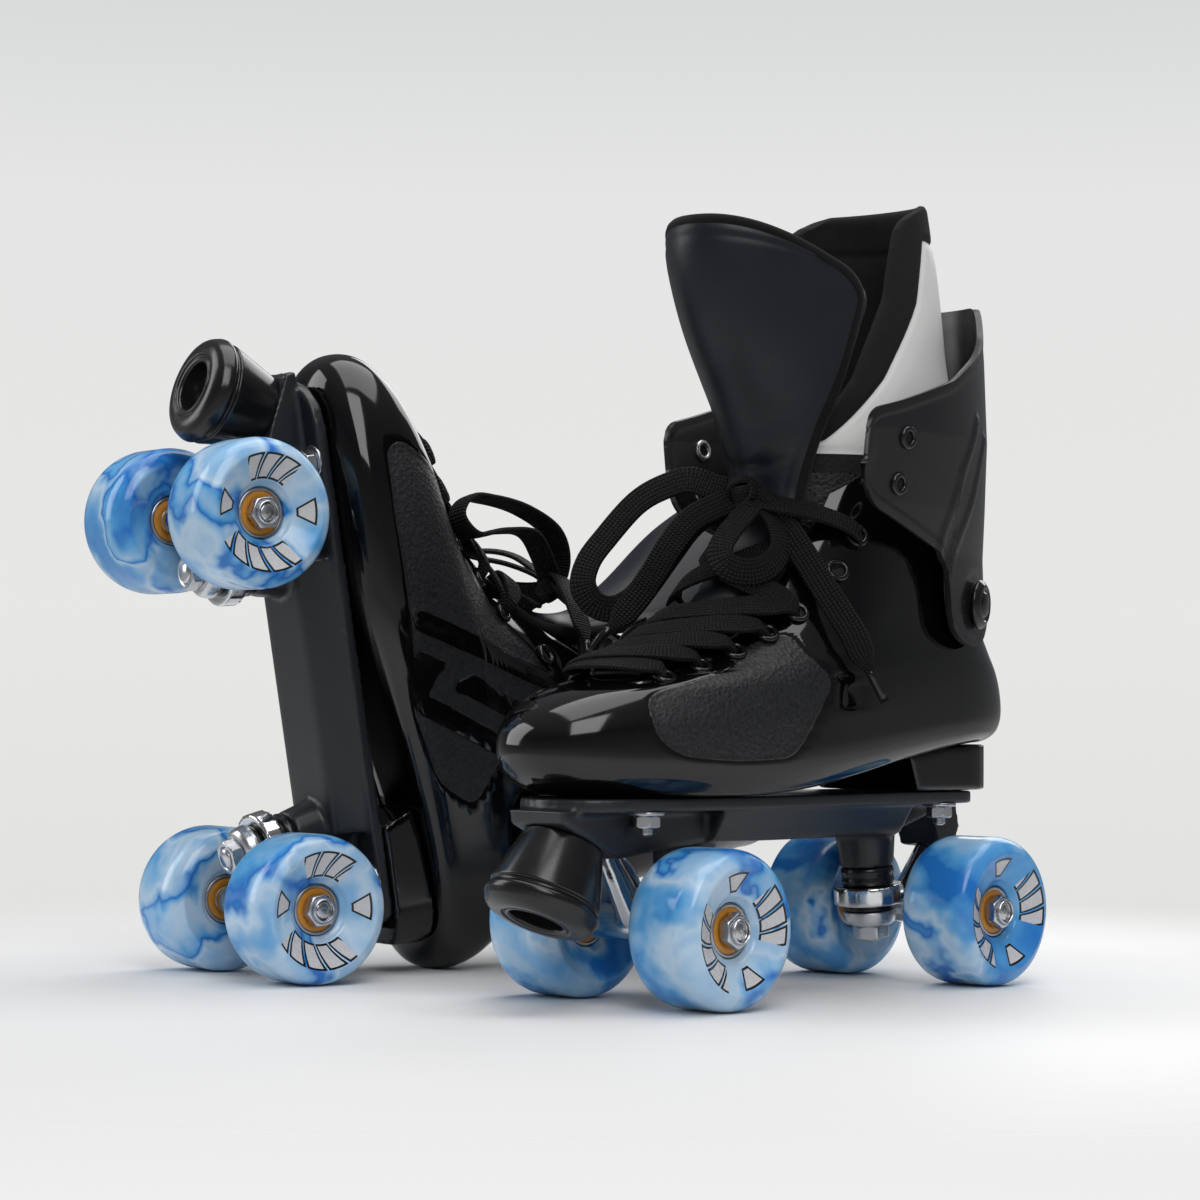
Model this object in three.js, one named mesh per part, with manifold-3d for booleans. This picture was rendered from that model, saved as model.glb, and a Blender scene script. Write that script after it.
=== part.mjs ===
// A pair of quad roller skates. The left skate stands on its four wheels and the right one leans
// beside it, toe up, on its rear wheels and the heel of its boot.
//
// Millimetres, +Z up. Each skate is built in its own frame: +X to the wearer's outer side of the
// left foot, -Y towards the toe, Z = 0 on the ground, and Y = 0 midway between the two axles.
// The exported group has its origin on the ground, at the middle of the pair's box without the
// free lace ends.
import * as THREE from "three";
import { mergeVertices } from "three/addons/utils/BufferGeometryUtils.js";
import Module from "manifold-3d";

const wasm = await Module();
wasm.setup();

// ---- Driving dimensions ----------------------------------------------------------------------

const GAP = 0.3; // between pieces that rest on each other
const SLIVER = 0.04; // the most that a joined surface is smoothed by

const WHEEL_DIAMETER = 65;
const WHEEL_WIDTH = 38;
const WHEEL_LIP = 7.5; // rounding between tread and side face
const HUB_FACE = 10.6; // from the wheel's middle plane to a bearing's outer face
const WHEELBASE = 172;
const WHEEL_TRACK = 80; // between the middle planes of a truck's two wheels

const BEARING_OUTSIDE = 22;
const BEARING_BORE = 8;
const BEARING_WIDTH = 7;

const AXLE_DIAMETER = 7.9;
const AXLE_TIP = 16.5; // how far the axle ends beyond the wheel's middle plane
const NUT_ACROSS_FLATS = 13;
const NUT_HEIGHT = 5;
const RUNNING = 0.5; // side play between an inner bearing face and the hanger's shoulder

const PLATE_TOP = 84.3; // height of the plate's top face above the ground
const FLANGE = 5.5; // thickness of the plate's top flange
const PLATE_HALF_WIDTH = 27.5;
const PLATE_NOSE = 142; // from mid-wheelbase to the plate's front end
const PLATE_TAIL = 104; // from mid-wheelbase to the plate's rear end
const BEAM_BOTTOM = 65; // height of the beam's underside
const BEAM_HALF_WIDTH = 20;

const KINGPIN_INSET = 24.5; // from the axle to the kingpin, towards mid-wheelbase
const KINGPIN_LEAN = 6; // degrees; the lower end leans towards the axle
const KINGPIN_RADIUS = 4.75;
const RING_HEIGHT = 38.7; // height of the hanger's ring on the kingpin
const RING_THICKNESS = 8.4;
const RING_RADIUS = 15.6;
const CUSHION_RADIUS = 11.8;
const CUSHION_NECK = 7.6; // radius of the cushion inside the ring
const UPPER_CUSHION = 8.5;
const LOWER_CUSHION = 2.6;
const CUP_HEIGHT = 6.5;
const KINGPIN_NUT_ACROSS = 14;
const KINGPIN_NUT_HEIGHT = 6;
const BOSS_RADIUS = 14.8; // where the kingpin boss leaves the beam
const PIVOT_OUTSET = 19; // from the axle to the pivot's ball, away from mid-wheelbase
const PIVOT_HEIGHT = 62;
const PIVOT_RADIUS = 5.2;
const AXLE_HOUSING = 7.6; // radius of the hanger around the axle

const STOP_TILT = 26; // degrees between the toe stop's axis and the vertical
const STOP_TOP_RADIUS = 16.5;
const STOP_RADIUS = 24;
const STOP_HEIGHT = 35;
const STOP_BORE = 11;
const STOP_SEAT_Y = -129; // where the toe stop's axis leaves the plate
const STOP_SEAT_Z = 67;
const STEM_RADIUS = 7;

const BOOT_LENGTH = 285;
const BOOT_WIDTH = 100; // across the ball of the foot
const BOOT_HEIGHT = 146; // from the sole to the shell's front top edge
const HEEL_BACK = 133; // from mid-wheelbase to the back of the boot's heel
const HEEL_RISE = 20.5; // how far the heel of the sole is above its ball
const SHELL_WALL = 3;
const SOLE_THICKNESS = 5;
const THROAT_HALF_WIDTH = 26; // at the shell's top; the throat narrows to the toe
const THROAT_TOE_HALF_WIDTH = 17;
const LINER_GAP = 0.6; // between the shell and the liner
const LINER_WALL = 5.5;

const HEEL_BLOCK_HALF_WIDTH = 29;
const HEEL_BLOCK_FRONT = 55;
const HEEL_BLOCK_BACK = 118;

const CUFF_WALL = 2.8;
const RIVET_HEAD = 11; // radius of the button on each cuff pivot
const RIVET_SHANK = 4;
const RIVET_GRIP = 3; // how far the shank goes past the cuff's inner face
const PIVOT_Y = 84; // cuff pivot, from mid-wheelbase
const PIVOT_Z = 166.5;

const TONGUE_THICKNESS = 6;
const TONGUE_PROUD = 1.7; // how far its middle stands out of the shell's outline on the instep
const LACE_WIDTH = 9.5;
const LACE_THICKNESS = 1.8;

const RIGHT_SKATE_PLACE = new THREE.Vector2(-193, -127); // its rear axle's middle, from the left one's origin
const RIGHT_SKATE_TURN = -10; // degrees about the vertical

// ---- Materials -------------------------------------------------------------------------------

const material = (color, roughness, metalness = 0) =>
  new THREE.MeshStandardMaterial({ color, roughness, metalness });

const GLOSS_BLACK = material(0x0b0b0c, 0.12);
const SATIN_BLACK = material(0x121214, 0.4);
const NYLON_BLACK = material(0x141618, 0.35);
const RUBBER_BLACK = material(0x0d0d0e, 0.3);
const LEATHERETTE = material(0x10131a, 0.5);
const LINER_WHITE = material(0xe8e8e6, 0.6);
const LACE_BLACK = material(0x0c0c0d, 0.85);
const WHEEL_BLUE = material(0x3d8fd6, 0.25);
const BEARING_AMBER = material(0xb8701c, 0.4);
const CHROME = material(0xc9ccd0, 0.15, 1);
const ZINC = material(0xb9bec2, 0.3, 1);

// ---- Geometry helpers ------------------------------------------------------------------------

const radians = THREE.MathUtils.degToRad;
const WHEEL_RADIUS = WHEEL_DIAMETER / 2;
const mix = THREE.MathUtils.lerp;
const ease = THREE.MathUtils.smoothstep;

/** A closed geometry as a solid that can be joined and cut. */
function solid(geometry) {
  const bare = geometry.index ? geometry.toNonIndexed() : geometry.clone();
  bare.deleteAttribute("normal");
  bare.deleteAttribute("uv");
  const merged = mergeVertices(bare, 1e-4);
  const vertProperties = new Float32Array(merged.attributes.position.array);
  const triVerts = new Uint32Array(merged.index.array);
  return new wasm.Manifold(new wasm.Mesh({ numProp: 3, vertProperties, triVerts }));
}

/** A solid's surface as a flat-shaded geometry, without slivers and crumbs left by joining. */
function surface(body) {
  const [whole] = body.simplify(SLIVER).decompose().sort((a, b) => b.volume() - a.volume());
  const mesh = whole.getMesh();
  const geometry = new THREE.BufferGeometry();
  geometry.setAttribute("position", new THREE.BufferAttribute(mesh.vertProperties, 3));
  geometry.setIndex(new THREE.BufferAttribute(mesh.triVerts, 1));
  const flat = geometry.toNonIndexed();
  flat.computeVertexNormals();
  return flat;
}

/** A cylinder or cone about Z, from one height to another. */
function round(bottomRadius, topRadius, from, to, segments = 20) {
  const geometry = new THREE.CylinderGeometry(topRadius, bottomRadius, to - from, segments);
  return geometry.rotateX(Math.PI / 2).translate(0, 0, (from + to) / 2);
}

/** A lathe about Z from [radius, height] points that close on the axis or on themselves. */
function turned(points, segments) {
  const profile = points.map(([r, z]) => new THREE.Vector2(r, z));
  if (THREE.ShapeUtils.area(profile) < 0) profile.reverse();
  return new THREE.LatheGeometry(profile, segments).rotateX(Math.PI / 2);
}

/** A lathe about X, listed from its +X end to its -X end. */
function turnedAlongX(points, segments) {
  return turned(points, segments).rotateY(Math.PI / 2);
}

/** A side-view outline of [y, z] points, extruded across the skate from -halfWidth to +halfWidth. */
function sideExtrusion(points, halfWidth) {
  const shape = new THREE.Shape(points.map(([y, z]) => new THREE.Vector2(y, z)));
  const geometry = new THREE.ExtrudeGeometry(shape, { depth: 2 * halfWidth, bevelEnabled: false });
  return geometry.rotateX(Math.PI / 2).rotateZ(Math.PI / 2).translate(-halfWidth, 0, 0);
}

/** A plan outline of a THREE.Shape in x and y, extruded upwards between two heights. */
function planExtrusion(shape, from, to, curveSegments = 6) {
  const geometry = new THREE.ExtrudeGeometry(shape, { depth: to - from, bevelEnabled: false, curveSegments });
  return geometry.translate(0, 0, from);
}

/**
 * A closed skin over rings of equal length. Each quad is split along its shorter diagonal, so two
 * skins a gap apart stay apart, and a ladder across each end joins points i and -i.
 */
function loft(rings) {
  const count = rings[0].length;
  const positions = rings.flat().flatMap((p) => [p.x, p.y, p.z]);
  const index = [];
  for (let k = 0; k + 1 < rings.length; k++) {
    for (let i = 0; i < count; i++) {
      const a = k * count + i;
      const b = k * count + ((i + 1) % count);
      const next = rings[k + 1];
      const straight = rings[k][i].distanceTo(next[(i + 1) % count]) <= rings[k][(i + 1) % count].distanceTo(next[i]);
      index.push(...(straight ? [a, b, b + count, a, b + count, a + count] : [a, b, a + count, b, b + count, a + count]));
    }
  }
  for (const [start, flip] of [[0, true], [(rings.length - 1) * count, false]]) {
    const triangle = (a, b, c) => index.push(start + a, start + (flip ? c : b), start + (flip ? b : c));
    for (let i = 0; i < count / 2; i++) {
      const back = count - i;
      if (i > 0) triangle(i, i + 1, back);
      if (i + 1 < count / 2) triangle(i + 1, back - 1, back % count);
    }
  }
  const geometry = new THREE.BufferGeometry();
  geometry.setAttribute("position", new THREE.Float32BufferAttribute(positions, 3));
  geometry.setIndex(index);
  return geometry;
}

// ---- Boot outline ----------------------------------------------------------------------------

// The boot's shape is a fan of rings from the sole to the ankle. Each station gives the ring's
// front end and back end as [along, up], then its half-width at the ball and at the heel.
// Along runs from the toe (0) to the heel (1), up from the sole (0) to the front top edge (1),
// and the half-widths are shares of half the boot's width.
const STATIONS = [
  [[0.14, 0.0], [0.925, 0.0], 0.68, 0.6],
  [[0.07, 0.01], [0.968, 0.01], 0.88, 0.76],
  [[0.024, 0.055], [0.994, 0.04], 0.97, 0.83],
  [[0.007, 0.115], [1.003, 0.09], 1.0, 0.86],
  [[0.01, 0.178], [1.0, 0.158], 1.0, 0.86],
  [[0.032, 0.233], [0.988, 0.22], 0.98, 0.86],
  [[0.074, 0.281], [0.968, 0.281], 0.95, 0.85],
  [[0.14, 0.315], [0.951, 0.336], 0.91, 0.83],
  [[0.225, 0.356], [0.937, 0.391], 0.87, 0.81],
  [[0.302, 0.418], [0.926, 0.445], 0.84, 0.8],
  [[0.372, 0.5], [0.919, 0.5], 0.82, 0.8],
  [[0.428, 0.603], [0.914, 0.568], 0.81, 0.8],
  [[0.474, 0.726], [0.912, 0.637], 0.81, 0.81],
  [[0.516, 0.85], [0.91, 0.712], 0.82, 0.82],
  [[0.562, 1.0], [0.908, 0.808], 0.84, 0.84],
];
const SOLE_HEIGHT = PLATE_TOP + GAP;
const RING_POINTS = 20;
const INNER_STATIONS = [1, 2, 3.4, 5, 6.5, 8, 10, 12, 14]; // of the shell's inner face
const TOE_ROUNDNESS = 2.35;
const HEEL_ROUNDNESS = 3;
const TOE_BEND = 5; // how far the toe leans to the inner side

const alongBoot = (share) => HEEL_BACK - BOOT_LENGTH * (1 - share);
const upBoot = (share) => SOLE_HEIGHT + BOOT_HEIGHT * share;
const acrossBoot = (share) => (BOOT_WIDTH / 2) * share;
const soleLift = (share) => HEEL_RISE * share;

const frontLine = new THREE.CatmullRomCurve3(
  STATIONS.map(([front]) => new THREE.Vector3(0, alongBoot(front[0]), upBoot(front[1]))),
);
const backLine = new THREE.CatmullRomCurve3(
  STATIONS.map(([, back]) => new THREE.Vector3(0, alongBoot(back[0]), upBoot(back[1]) + HEEL_RISE)),
);
const widthLine = new THREE.CatmullRomCurve3(
  STATIONS.map(([, , ball, heel]) => new THREE.Vector3(acrossBoot(ball), acrossBoot(heel), 0)),
);
const STATION_COUNT = STATIONS.length - 1;

/** A point of the profile line moved into the boot by `inset`. */
function profilePoint(line, station, inset, inward) {
  const t = station / STATION_COUNT;
  const tangent = line.getTangent(t);
  const normal = new THREE.Vector3(0, tangent.z, -tangent.y).multiplyScalar(inward);
  return line.getPoint(t).addScaledVector(normal, inset);
}

/** A point of the boot's skin: station from the sole up, angle from the front (0) to +X (90). */
function bootPoint(station, angle, inset = 0) {
  const front = profilePoint(frontLine, station, inset, 1);
  const back = profilePoint(backLine, station, inset, -1);
  const widths = widthLine.getPoint(station / STATION_COUNT);
  const forward = Math.cos(angle);
  const sideways = Math.sin(angle);
  const power = 2 / (forward > 0 ? TOE_ROUNDNESS : HEEL_ROUNDNESS);
  const u = (1 - Math.sign(forward) * Math.abs(forward) ** power) / 2;
  const across = Math.sign(sideways) * Math.abs(sideways) ** power;
  const halfWidth = mix(widths.x, widths.y, ease(u, 0.35, 0.8)) - inset;
  const flatness = 1 - ease(station, 0, 8);
  const rise = mix(u, ease(u, 0.25, 0.95), flatness);
  const bend = -TOE_BEND * (1 - ease(u, 0, 0.5)) * (1 - ease(station, 5, 8));
  return new THREE.Vector3(across * halfWidth + bend, mix(front.y, back.y, u), mix(front.z, back.z, rise));
}

function bootRing(station, inset) {
  return Array.from({ length: RING_POINTS }, (_, i) => bootPoint(station, (2 * Math.PI * i) / RING_POINTS, inset));
}

/** A ring inside the boot, raised near the sole, which is thicker than the wall. */
function raisedRing(station, inset) {
  const lift = (SOLE_THICKNESS - SHELL_WALL) * (1 - ease(station, 1, 5));
  return bootRing(station, inset).map((p) => p.setZ(p.z + lift));
}

/** The angle on a station's ring where the boot's skin is `x` from its middle plane. */
function angleAt(station, x) {
  let low = 0;
  let high = Math.PI / 2;
  for (let i = 0; i < 24; i++) {
    const middle = (low + high) / 2;
    if (bootPoint(station, middle).x < x) low = middle;
    else high = middle;
  }
  return low;
}

const wholeStations = (from, to) => Array.from({ length: to - from + 1 }, (_, i) => from + i);

/** Height of the sole's underside at a distance y from mid-wheelbase. */
function soleHeightAt(y) {
  const start = frontLine.getPoint(0);
  const end = backLine.getPoint(0);
  return mix(start.z, end.z, ease((y - start.y) / (end.y - start.y), 0.25, 0.95));
}

/** Half-width of the throat at a share of the way from its toe end (0) to its top (1). */
const throatHalfWidth = (share) => mix(THROAT_TOE_HALF_WIDTH, THROAT_HALF_WIDTH, share);
const SHELL_TOP = [[0.64, 1.2], [0.64, 0.93], [0.72, 0.8], [0.82, 0.72], [1.1, 0.69], [1.1, 1.2]]; // cut away behind
const THROAT_TOE = alongBoot(0.165);
const THROAT_TOP = alongBoot(0.66);

/** The angle on a station's ring at a distance from the throat's edge, towards the side. */
function throatAngle(station, beyond) {
  const y = frontLine.getPoint(station / STATION_COUNT).y;
  return angleAt(station, throatHalfWidth((y - THROAT_TOE) / (THROAT_TOP - THROAT_TOE)) + beyond);
}

/** The bore across both sides of the boot for the two cuff rivets. */
function rivetHole() {
  const bore = round(RIVET_SHANK + GAP, RIVET_SHANK + GAP, -BOOT_WIDTH, BOOT_WIDTH, 12);
  return bore.rotateY(Math.PI / 2).translate(0, PIVOT_Y, PIVOT_Z);
}

function bootShell() {
  const outer = wholeStations(0, STATION_COUNT).map((k) => bootRing(k, 0));
  const inner = INNER_STATIONS.map((k) => raisedRing(k, SHELL_WALL));
  const throat = new THREE.Shape();
  throat.moveTo(-throatHalfWidth(0), THROAT_TOE + THROAT_TOE_HALF_WIDTH * 0.6);
  throat.quadraticCurveTo(-throatHalfWidth(0), THROAT_TOE, 0, THROAT_TOE);
  throat.quadraticCurveTo(throatHalfWidth(0), THROAT_TOE, throatHalfWidth(0), THROAT_TOE + THROAT_TOE_HALF_WIDTH * 0.6);
  throat.lineTo(throatHalfWidth(1), THROAT_TOP);
  throat.lineTo(-throatHalfWidth(1), THROAT_TOP);
  const slot = planExtrusion(throat, upBoot(0.2), upBoot(1.2), 4);
  const ankle = SHELL_TOP.map(([along, up]) => [alongBoot(along), upBoot(up)]);
  return surface(
    solid(loft([...outer, ...inner.reverse()]))
      .subtract(solid(slot))
      .subtract(solid(sideExtrusion(ankle, BOOT_WIDTH)))
      .subtract(solid(rivetHole())),
  );
}

// ---- Liner -----------------------------------------------------------------------------------

// The liner's padded collar above the shell, as rings of [front, back, height, half-width]:
// distances from mid-wheelbase, and heights above the ground.
const COLLAR = [
  [0.512, 0.886, 1.12, 0.76],
  [0.53, 0.867, 1.3, 0.72],
  [0.55, 0.85, 1.48, 0.7],
  [0.575, 0.826, 1.66, 0.68],
  [0.588, 0.812, 1.745, 0.66],
];
const COLLAR_CUT_FOOT = [0.51, 0.97]; // where the collar's front opening starts, [along, up]
const COLLAR_CUT_TOP = [0.688, 1.76];

function collarRing([front, back, height, halfWidth], inset) {
  const from = alongBoot(front) + inset;
  const to = alongBoot(back) - inset;
  return Array.from({ length: RING_POINTS }, (_, i) => {
    const angle = (2 * Math.PI * i) / RING_POINTS;
    const x = (acrossBoot(halfWidth) - inset) * Math.sin(angle);
    const y = mix(from, to, (1 - Math.cos(angle)) / 2);
    return new THREE.Vector3(x, y, upBoot(height));
  });
}

function liner() {
  const skin = SHELL_WALL + LINER_GAP;
  const footRings = (inset) => INNER_STATIONS.map((k) => raisedRing(k, inset));
  const outer = [...footRings(skin), ...COLLAR.map((ring) => collarRing(ring, 0))];
  const inner = [...footRings(skin + LINER_WALL), ...COLLAR.map((ring) => collarRing(ring, LINER_WALL))];
  const front = alongBoot(0.3);
  const opening = sideExtrusion([
    [front, upBoot(COLLAR_CUT_FOOT[1])],
    [alongBoot(COLLAR_CUT_FOOT[0]), upBoot(COLLAR_CUT_FOOT[1])],
    [alongBoot(COLLAR_CUT_TOP[0]), upBoot(COLLAR_CUT_TOP[1])],
    [front, upBoot(COLLAR_CUT_TOP[1])],
  ], BOOT_WIDTH);
  return surface(solid(loft([...outer, ...inner.reverse()])).subtract(solid(opening)));
}

// ---- Tongue ----------------------------------------------------------------------------------

// Below the throat's top the tongue follows the instep; above it the tongue flares and leans
// forward. Each station is [along, up, half-width, how far its edges sweep back].
const TONGUE_INSTEP = [7.4, 8, 9, 10, 11, 12];
const TONGUE_LEAN = 0.3; // radians; the slope of its thickness above the throat
const TONGUE_RISE = [
  [0.484, 0.9, 0.38, 0.028],
  [0.464, 1.03, 0.52, 0.05],
  [0.418, 1.19, 0.72, 0.11],
  [0.368, 1.36, 0.86, 0.17],
  [0.338, 1.52, 0.93, 0.2],
  [0.33, 1.615, 0.86, 0.17],
  [0.34, 1.675, 0.55, 0.08],
];

const ACROSS_TONGUE = [-1, -0.6, 0, 0.6, 1];

/** A tongue section between its front and back faces; `face(share, depth)` gives their points. */
function tongueSection(face) {
  const half = TONGUE_THICKNESS / 2;
  return [
    ...ACROSS_TONGUE.map((share) => face(share, -half)),
    ...ACROSS_TONGUE.toReversed().map((share) => face(share, half)),
  ];
}

function tongue() {
  const taper = (share) => 1 - 0.55 * share ** 4;
  const instep = TONGUE_INSTEP.map((station) => {
    const edge = throatAngle(station, -4);
    return tongueSection((share, depth) =>
      bootPoint(station, edge * share, depth * taper(share) - TONGUE_PROUD * (1 - 1.3 * share ** 4)));
  });
  const rise = TONGUE_RISE.map(([along, up, width, sweep]) => {
    const lean = new THREE.Vector3(0, Math.cos(TONGUE_LEAN), Math.sin(TONGUE_LEAN));
    return tongueSection((share, depth) =>
      new THREE.Vector3(acrossBoot(width) * share, alongBoot(along + sweep * share ** 2), upBoot(up))
        .addScaledVector(lean, depth * taper(share)));
  });
  return loft([...instep, ...rise]);
}

// ---- Cuff ------------------------------------------------------------------------------------

// The cuff's inner surface, as rings of [front, back, height, half-width]; the front of each
// ring is cut away, so that the two flaps stay open.
const CUFF_RINGS = [
  [0.3, 0.985, 0.4, 0.92],
  [0.29, 0.961, 0.475, 0.94],
  [0.28, 0.948, 0.56, 0.96],
  [0.265, 0.939, 0.7, 1.0],
  [0.255, 0.933, 0.84, 1.08],
  [0.252, 0.928, 1.05, 1.15],
  [0.252, 0.922, 1.3, 1.13],
  [0.255, 0.916, 1.55, 1.06],
];
const CUFF_ROUNDNESS = 2.15;
// The cuff's outline seen from the side, as [along, up] from the front top corner round by the
// lower edge to the back and the top edge.
const CUFF_OUTLINE = [
  [0.496, 1.085], [0.51, 1.11], [0.57, 1.135], [0.7, 1.21], [0.79, 1.3], [0.85, 1.38], [0.89, 1.48], [1.1, 1.5],
  [1.1, 0.53], [0.9, 0.52], [0.86, 0.46], [0.82, 0.43], [0.775, 0.445], [0.74, 0.49], [0.728, 0.62],
  [0.702, 0.7], [0.522, 0.825], [0.5, 0.87],
];
const CUFF_POINTS = 22;

function cuffRing([front, back, height, halfWidth], outset) {
  const from = alongBoot(front) - outset;
  const to = alongBoot(back) + outset;
  const power = 2 / CUFF_ROUNDNESS;
  return Array.from({ length: CUFF_POINTS }, (_, i) => {
    const angle = (2 * Math.PI * i) / CUFF_POINTS;
    const x = (acrossBoot(halfWidth) + outset) * Math.sign(Math.sin(angle)) * Math.abs(Math.sin(angle)) ** power;
    const y = mix(from, to, (1 - Math.sign(Math.cos(angle)) * Math.abs(Math.cos(angle)) ** power) / 2);
    return new THREE.Vector3(x, y, upBoot(height));
  });
}

/** The cuff's skin at a point seen from the side: its half-width there. */
function cuffHalfWidth(y, z, outset) {
  const height = (z - SOLE_HEIGHT) / BOOT_HEIGHT;
  const next = CUFF_RINGS.findIndex((ring) => ring[2] > height);
  const [below, above] = [CUFF_RINGS[next - 1], CUFF_RINGS[next]];
  const share = (height - below[2]) / (above[2] - below[2]);
  const [front, back, , halfWidth] = below.map((value, i) => mix(value, above[i], share));
  const half = (alongBoot(back) - alongBoot(front)) / 2 + outset;
  const offset = y - (alongBoot(back) + alongBoot(front)) / 2;
  const reach = 1 - Math.abs(offset / half) ** CUFF_ROUNDNESS;
  return (acrossBoot(halfWidth) + outset) * reach ** (1 / CUFF_ROUNDNESS);
}

function cuff() {
  const outer = solid(loft(CUFF_RINGS.map((ring) => cuffRing(ring, CUFF_WALL))));
  const innerRings = CUFF_RINGS.map((ring) => cuffRing(ring, 0));
  const extend = (ring, by) => ring.map((p) => p.clone().setZ(p.z + by));
  const inner = solid(loft([extend(innerRings[0], -20), ...innerRings, extend(innerRings.at(-1), 20)]));
  const outline = CUFF_OUTLINE.map(([along, up]) => [alongBoot(along), upBoot(up)]);
  const sides = solid(sideExtrusion(outline, BOOT_WIDTH));
  return surface(outer.subtract(inner).intersect(sides).subtract(solid(rivetHole())));
}

/** A button head on the cuff and its shank, which turns in the shell's bore. */
function cuffRivet(side) {
  const x = cuffHalfWidth(PIVOT_Y, PIVOT_Z, CUFF_WALL);
  const step = 1;
  const slope = (x - cuffHalfWidth(PIVOT_Y + step, PIVOT_Z, CUFF_WALL)) / step;
  const head = turned([[0, -0.6], [RIVET_HEAD - 1, -0.6], [RIVET_HEAD, 0.9], [RIVET_HEAD - 2.5, 3], [0, 4.2]], 14);
  head.rotateY(Math.PI / 2).rotateZ(Math.atan(slope)).translate(x + 1.6, PIVOT_Y, PIVOT_Z);
  const innerEnd = x - CUFF_WALL - RIVET_GRIP;
  const shank = round(RIVET_SHANK, RIVET_SHANK, innerEnd, x + 2, 8);
  shank.rotateY(Math.PI / 2).translate(0, PIVOT_Y, PIVOT_Z);
  const body = solid(head).add(solid(shank));
  return surface(side > 0 ? body : body.mirror([1, 0, 0]));
}

// ---- Heel block and plate --------------------------------------------------------------------

function heelBlock() {
  const steps = [0, 0.33, 0.66, 1];
  const top = steps.map((t) => {
    const y = mix(HEEL_BLOCK_FRONT, HEEL_BLOCK_BACK, t);
    return [y, soleHeightAt(y) - GAP];
  });
  const bottom = PLATE_TOP + GAP;
  const wedge = sideExtrusion([...top, [HEEL_BLOCK_BACK - 3, bottom], [HEEL_BLOCK_FRONT + 6, bottom]], HEEL_BLOCK_HALF_WIDTH);
  const plan = new THREE.Shape();
  const corner = 20;
  plan.moveTo(-HEEL_BLOCK_HALF_WIDTH, HEEL_BLOCK_FRONT - 1);
  plan.lineTo(HEEL_BLOCK_HALF_WIDTH, HEEL_BLOCK_FRONT - 1);
  plan.lineTo(HEEL_BLOCK_HALF_WIDTH, HEEL_BLOCK_BACK - corner);
  plan.quadraticCurveTo(HEEL_BLOCK_HALF_WIDTH, HEEL_BLOCK_BACK, HEEL_BLOCK_HALF_WIDTH - corner, HEEL_BLOCK_BACK);
  plan.lineTo(corner - HEEL_BLOCK_HALF_WIDTH, HEEL_BLOCK_BACK);
  plan.quadraticCurveTo(-HEEL_BLOCK_HALF_WIDTH, HEEL_BLOCK_BACK, -HEEL_BLOCK_HALF_WIDTH, HEEL_BLOCK_BACK - corner);
  return surface(solid(wedge).intersect(solid(planExtrusion(plan, bottom - 1, bottom + HEEL_RISE + 2))));
}

/** The plate's outline in plan: a round nose at the toe and rounded corners at the heel. */
function plateOutline() {
  const w = PLATE_HALF_WIDTH;
  const corner = 9;
  const shape = new THREE.Shape();
  shape.moveTo(-w, PLATE_TAIL - corner);
  shape.lineTo(-w, -PLATE_NOSE + w);
  shape.quadraticCurveTo(-w, -PLATE_NOSE + 3, 0, -PLATE_NOSE);
  shape.quadraticCurveTo(w, -PLATE_NOSE + 3, w, -PLATE_NOSE + w);
  shape.lineTo(w, PLATE_TAIL - corner);
  shape.quadraticCurveTo(w, PLATE_TAIL, w - corner, PLATE_TAIL);
  shape.lineTo(corner - w, PLATE_TAIL);
  shape.quadraticCurveTo(-w, PLATE_TAIL, -w, PLATE_TAIL - corner);
  return shape;
}

/** Puts a geometry of the truck's frame on the skate: front is -1, rear is +1. */
function placeAtAxle(geometry, end) {
  if (end > 0) geometry.rotateZ(Math.PI);
  return geometry.translate(0, (end * WHEELBASE) / 2, WHEEL_RADIUS);
}

// In the truck's frame the axle is the X axis, +Y is towards mid-wheelbase and +Z is up.
const RING_CENTRE = new THREE.Vector3(0, KINGPIN_INSET, RING_HEIGHT - WHEEL_RADIUS);
const PIVOT_BALL = new THREE.Vector3(0, -PIVOT_OUTSET, PIVOT_HEIGHT - WHEEL_RADIUS);

/** Tilts a geometry made about Z, with the ring at height 0, onto the kingpin's axis. */
function onKingpin(geometry) {
  return geometry.rotateX(radians(-KINGPIN_LEAN)).translate(0, RING_CENTRE.y, RING_CENTRE.z);
}

const BOSS_BOTTOM = RING_THICKNESS / 2 + UPPER_CUSHION; // heights along the kingpin, from the ring
const BOSS_TOP = PLATE_TOP - FLANGE - RING_HEIGHT;
const KINGPIN_TOP = BOSS_TOP - 2;
const CUP_TOP = -RING_THICKNESS / 2 - LOWER_CUSHION;

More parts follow.
